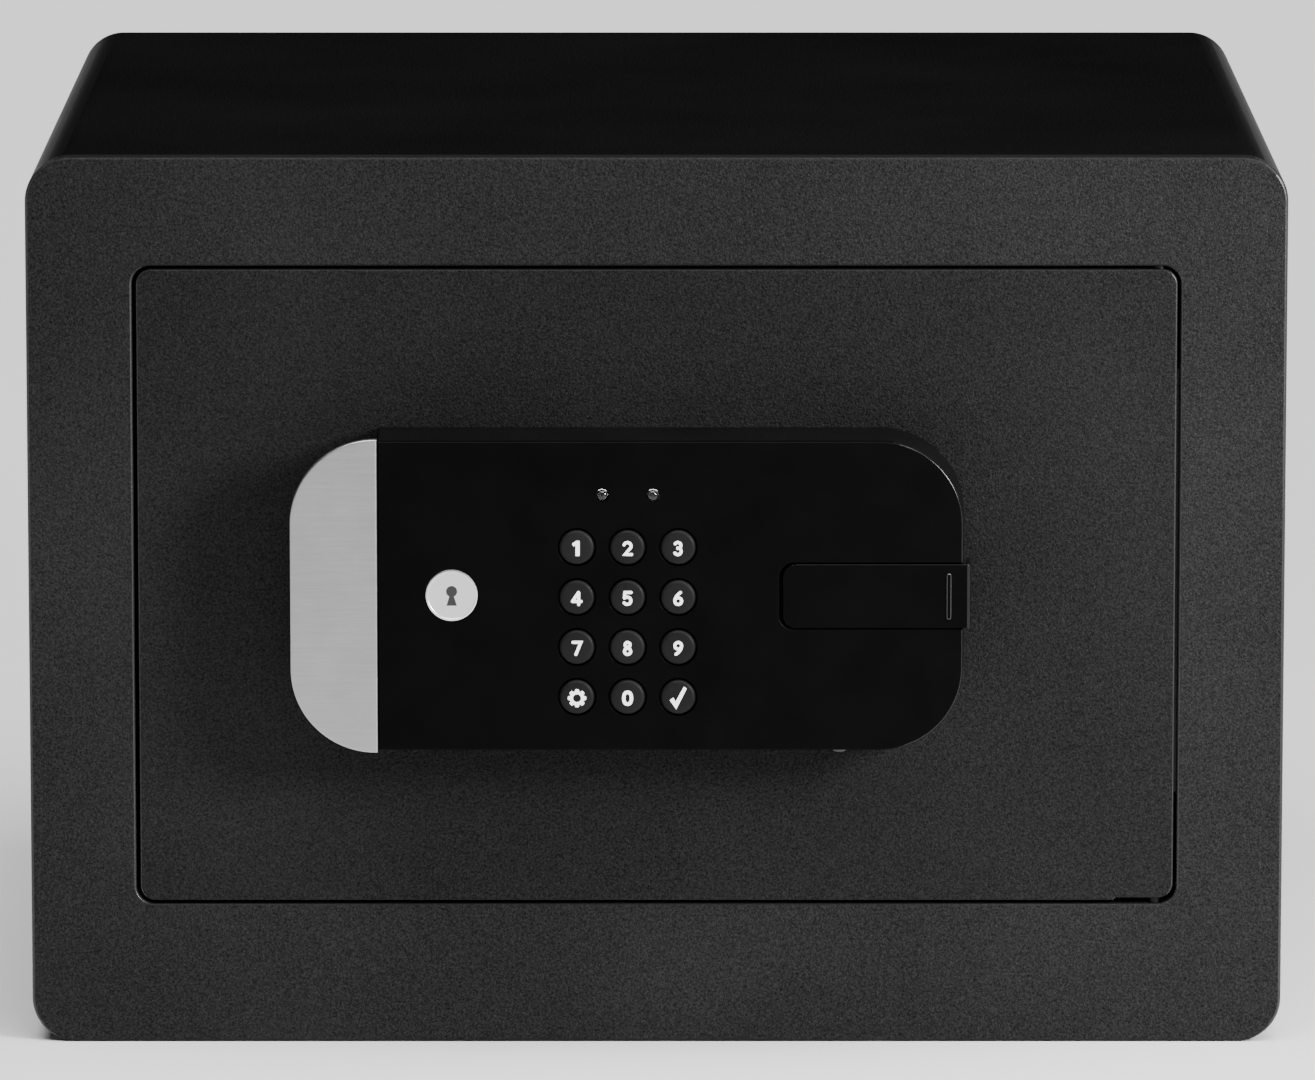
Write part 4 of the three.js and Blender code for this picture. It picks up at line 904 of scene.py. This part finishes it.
# ---------------------------------------------------------------- bolt work
for side, z in zip(("lower", "upper"), BOLT_Z):
    prof = [(0, -139.5), (7.2, -139.5), (7.5, -139.45), (8.85, -138.1), (9.0, -137.7), (9.0, -84.2), (8.6, -83.6), (8.6, -82.6), (9.0, -82.0), (9.0, -78.2), (0, -78.2)]
    finish("locking_bolt_" + side, turned(prof, (0, BOLT_Y, z), "x", 72), polished, "boltwork", "locking_bolt_" + side)
    dress("bolt_guide_" + side, zinc, 0.6, 3)
dress("bolt_carriage", zinc, 0.25)
dress("drive_pinion", zinc, 0.12, 1, 30)
dress("gearbox", nylon, 0.7, 3)
finish("motor_can", turned([(0, 14.3), (7.0, 14.3), (7.5, 14.5), (7.6, 15.0), (7.6, 38.4), (7.3, 39.4), (6.6, 39.9), (3.3, 40.0), (3.0, 40.2), (3.0, 41.7), (2.6, 42.0), (0, 42.0)],
                           (0, (FACE + 27.7 + COVER_BACK - 2.4) / 2, 118), "x", 48), zinc, "door", "motor_can")

# ---------------------------------------------------------------- power and control
dress("battery_tray", nylon, 0.4)
for i in range(4):
    x, y, z = 59.1 + i * 15.35, COVER_BACK - 19 + 1.7 + 7.15, 85.0
    prof = [(0, -25.0), (4.6, -25.0), (4.9, -24.75), (6.3, -24.75), (6.95, -24.6), (7.15, -24.2), (7.15, 23.3), (6.95, 23.8), (6.3, 24.0), (2.9, 24.0), (2.7, 24.15), (2.7, 25.0), (2.5, 25.2), (0, 25.2)]
    if i % 2 == 0:
        prof = [(r_, t) for r_, t in prof]
    else:
        prof = [(r_, -t) for r_, t in prof]
    finish(f"battery_{i + 1}", turned(prof, (x, y, z), "z", 48), [cell, polished], "door", f"battery_{i + 1}",
           edges=lambda c, n: 1 if abs(n.z) > 0.8 and math.hypot(c.x - round((c.x - 59.1) / 15.35) * 15.35 - 59.1, c.y - (COVER_BACK - 10.15)) < 5.2 else 0)
dress("control_board", board, 0.0)
dress("keypad_board", board, 0.0)
dress("wire_loom", wire_black, 0.0)
dress("inner_cover", cover_coat, 0.55, 3)
finish("cover_bead", plate(rrect(-100, 60, -5, 197, 8, 10), COVER_BACK - 0.1, COVER_BACK + 1.0, 0, 0.8,
                           holes=[rrect(-95.6, 64.4, -9.4, 192.6, 4.6, 10)], hole_f=(0, 0.8), seg=5), cover_coat, "door", None)
spots = [(66, 180)] + [(66 + 3.0 * math.cos(math.radians(a)), 180 + 3.0 * math.sin(math.radians(a))) for a in range(0, 360, 60)] + [
    (66 + 5.8 * math.cos(math.radians(a)), 180 + 5.8 * math.sin(math.radians(a))) for a in range(0, 360, 30)]
finish("buzzer_grille", plate(circle(66, 180, 8.5, 56), COVER_BACK - 0.1, COVER_BACK + 1.0, 0, 0.5, seg=4, holes=[circle(x, z, 0.75, 16) for x, z in spots], hole_f=(0, 0.12)),
       cap_black, "door", None, sharp=30)
finish("cell_diagram", plate(rrect(61, 119, 105, 143, 1.6, 6), COVER_BACK - 0.05, COVER_BACK + 0.12, 0, 0.03, seg=1), label_pale, "door", None)
ink = bmesh.new()
for i in range(4):
    x, up = 67.6 + i * 10.3, 1 if i % 2 == 0 else -1
    marks = [plate(rrect(x - 3.4, 122.6, x + 3.4, 138.4, 0.7, 4), 0, 0.06, holes=[rrect(x - 2.9, 123.1, x + 2.9, 137.9, 0.35, 4)], hole_f=(0, 0), seg=1)]
    end = 138.6 if up > 0 else 121.0
    marks.append(plate(rrect(x - 1.3, end, x + 1.3, end + 1.4, 0.2, 3), 0, 0.06, seg=1))
    a, b, zc, zm = 1.9, 0.36, 130.5 + 4.2 * up, 130.5 - 4.2 * up
    marks.append(plate([(x - b, zc - a), (x + b, zc - a), (x + b, zc - b), (x + a, zc - b), (x + a, zc + b), (x + b, zc + b), (x + b, zc + a), (x - b, zc + a), (x - b, zc + b), (x - a, zc + b), (x - a, zc - b), (x - b, zc - b)], 0, 0.06, seg=1))
    marks.append(plate([(x - a, zm - b), (x + a, zm - b), (x + a, zm + b), (x - a, zm + b)], 0, 0.06, seg=1))
    merge(ink, *marks)
for v in ink.verts:
    v.co.y += COVER_BACK + 0.13
finish("cell_diagram_ink", ink, glyph_dark, "door", None)
dress("battery_cap", cap_black, 0.3, 3)
arrow = plate([(63.0, 81.0), (67.6, 85.0), (63.0, 89.0)][::-1], 0, 1, 0, 0)
for v in arrow.verts:
    v.co = Vector((160 - v.co.x - 4.0, COVER_BACK + 2.0 + v.co.y * 0.35, v.co.z))
finish("cap_arrow", arrow, legend_grey, "battery_lid", None, bevel=0.08)
finish("reset_button",
       turned([(0, COVER_BACK - 8), (2, COVER_BACK - 8), (2, COVER_BACK - 3.6), (4.6, COVER_BACK - 3.6), (4.6, COVER_BACK - 2.4), (3, COVER_BACK - 2.4), (3, COVER_BACK + 0.9),
               (2.85, COVER_BACK + 1.25), (2.5, COVER_BACK + 1.5), (1.8, COVER_BACK + 1.6), (0, COVER_BACK + 1.35)], (100, 0, 180), "y", 40),
       red_plastic, "reset", "reset_button")

# ---------------------------------------------------------------- camera, light and floor
D, EL = 3.00824, math.radians(9.447)
TARGET = Vector((0.000276, 0.0, 0.11983))
cam = bpy.data.objects.new("camera", bpy.data.cameras.new("camera"))
bpy.context.scene.collection.objects.link(cam)
cam.data.sensor_width, cam.data.lens = 36.0, 282.21
cam.data.clip_end = 100
cam.location = TARGET + Vector((0, -math.cos(EL), math.sin(EL))) * D
cam.rotation_euler = (TARGET - cam.location).to_track_quat("-Z", "Y").to_euler()
bpy.context.scene.camera = cam

floor_mesh = bpy.data.meshes.new("floor")
floor_mesh.from_pydata([(-30, -30, 0), (30, -30, 0), (30, 30, 0), (-30, 30, 0)], [], [(0, 1, 2, 3)])
floor = bpy.data.objects.new("floor", floor_mesh)
bpy.context.scene.collection.objects.link(floor)
fm = Mat("floor")
floor_mesh.materials.append(fm.set(color=(0.82, 0.82, 0.82), rough=0.8, spec=0.2))

world = bpy.data.worlds.new("world")
bpy.context.scene.world = world
world.use_nodes = True
backdrop = world.node_tree.nodes["Background"]
backdrop.inputs[0].default_value = (1.0, 1.0, 1.0, 1.0)
seen = world.node_tree.nodes.new("ShaderNodeLightPath").outputs["Is Camera Ray"]
glow = world.node_tree.nodes.new("ShaderNodeMapRange")
glow.inputs["To Min"].default_value, glow.inputs["To Max"].default_value = 0.035, 1.15
world.node_tree.links.new(seen, glow.inputs["Value"])
world.node_tree.links.new(glow.outputs[0], backdrop.inputs[1])
world.cycles.sampling_method = "NONE"


def area(name, at, size, power, look=(0, 0, 0.12)):
    data = bpy.data.lights.new(name, "AREA")
    data.shape, data.size, data.size_y, data.energy = "RECTANGLE", size[0], size[1], power
    ob = bpy.data.objects.new(name, data)
    bpy.context.scene.collection.objects.link(ob)
    ob.location = at
    ob.rotation_euler = (Vector(look) - Vector(at)).to_track_quat("-Z", "Y").to_euler()
    ob.visible_camera = False
    return ob


# A wide, even light from overhead, a nearer one in front on the right and a weak one on the left.
sun = bpy.data.objects.new("overhead", bpy.data.lights.new("overhead", "SUN"))
bpy.context.scene.collection.objects.link(sun)
sun.data.energy, sun.data.angle = 5.2, math.radians(60)
sun.rotation_euler = Vector((-0.06, 0.32, -1.0)).to_track_quat("-Z", "Y").to_euler()
area("fill_left", (-1.6, -1.2, 0.8), (0.6, 1.0), 1.2)
key = bpy.data.objects.new("key_right", bpy.data.lights.new("key_right", "SPOT"))
bpy.context.scene.collection.objects.link(key)
key.data.energy, key.data.spot_size, key.data.spot_blend, key.data.shadow_soft_size = 61, math.radians(70), 1.0, 0.14
key.location = (0.64, -0.66, 0.42)
key.rotation_euler = (Vector((0.0, -0.12, 0.11)) - key.location).to_track_quat("-Z", "Y").to_euler()
key.visible_camera = False
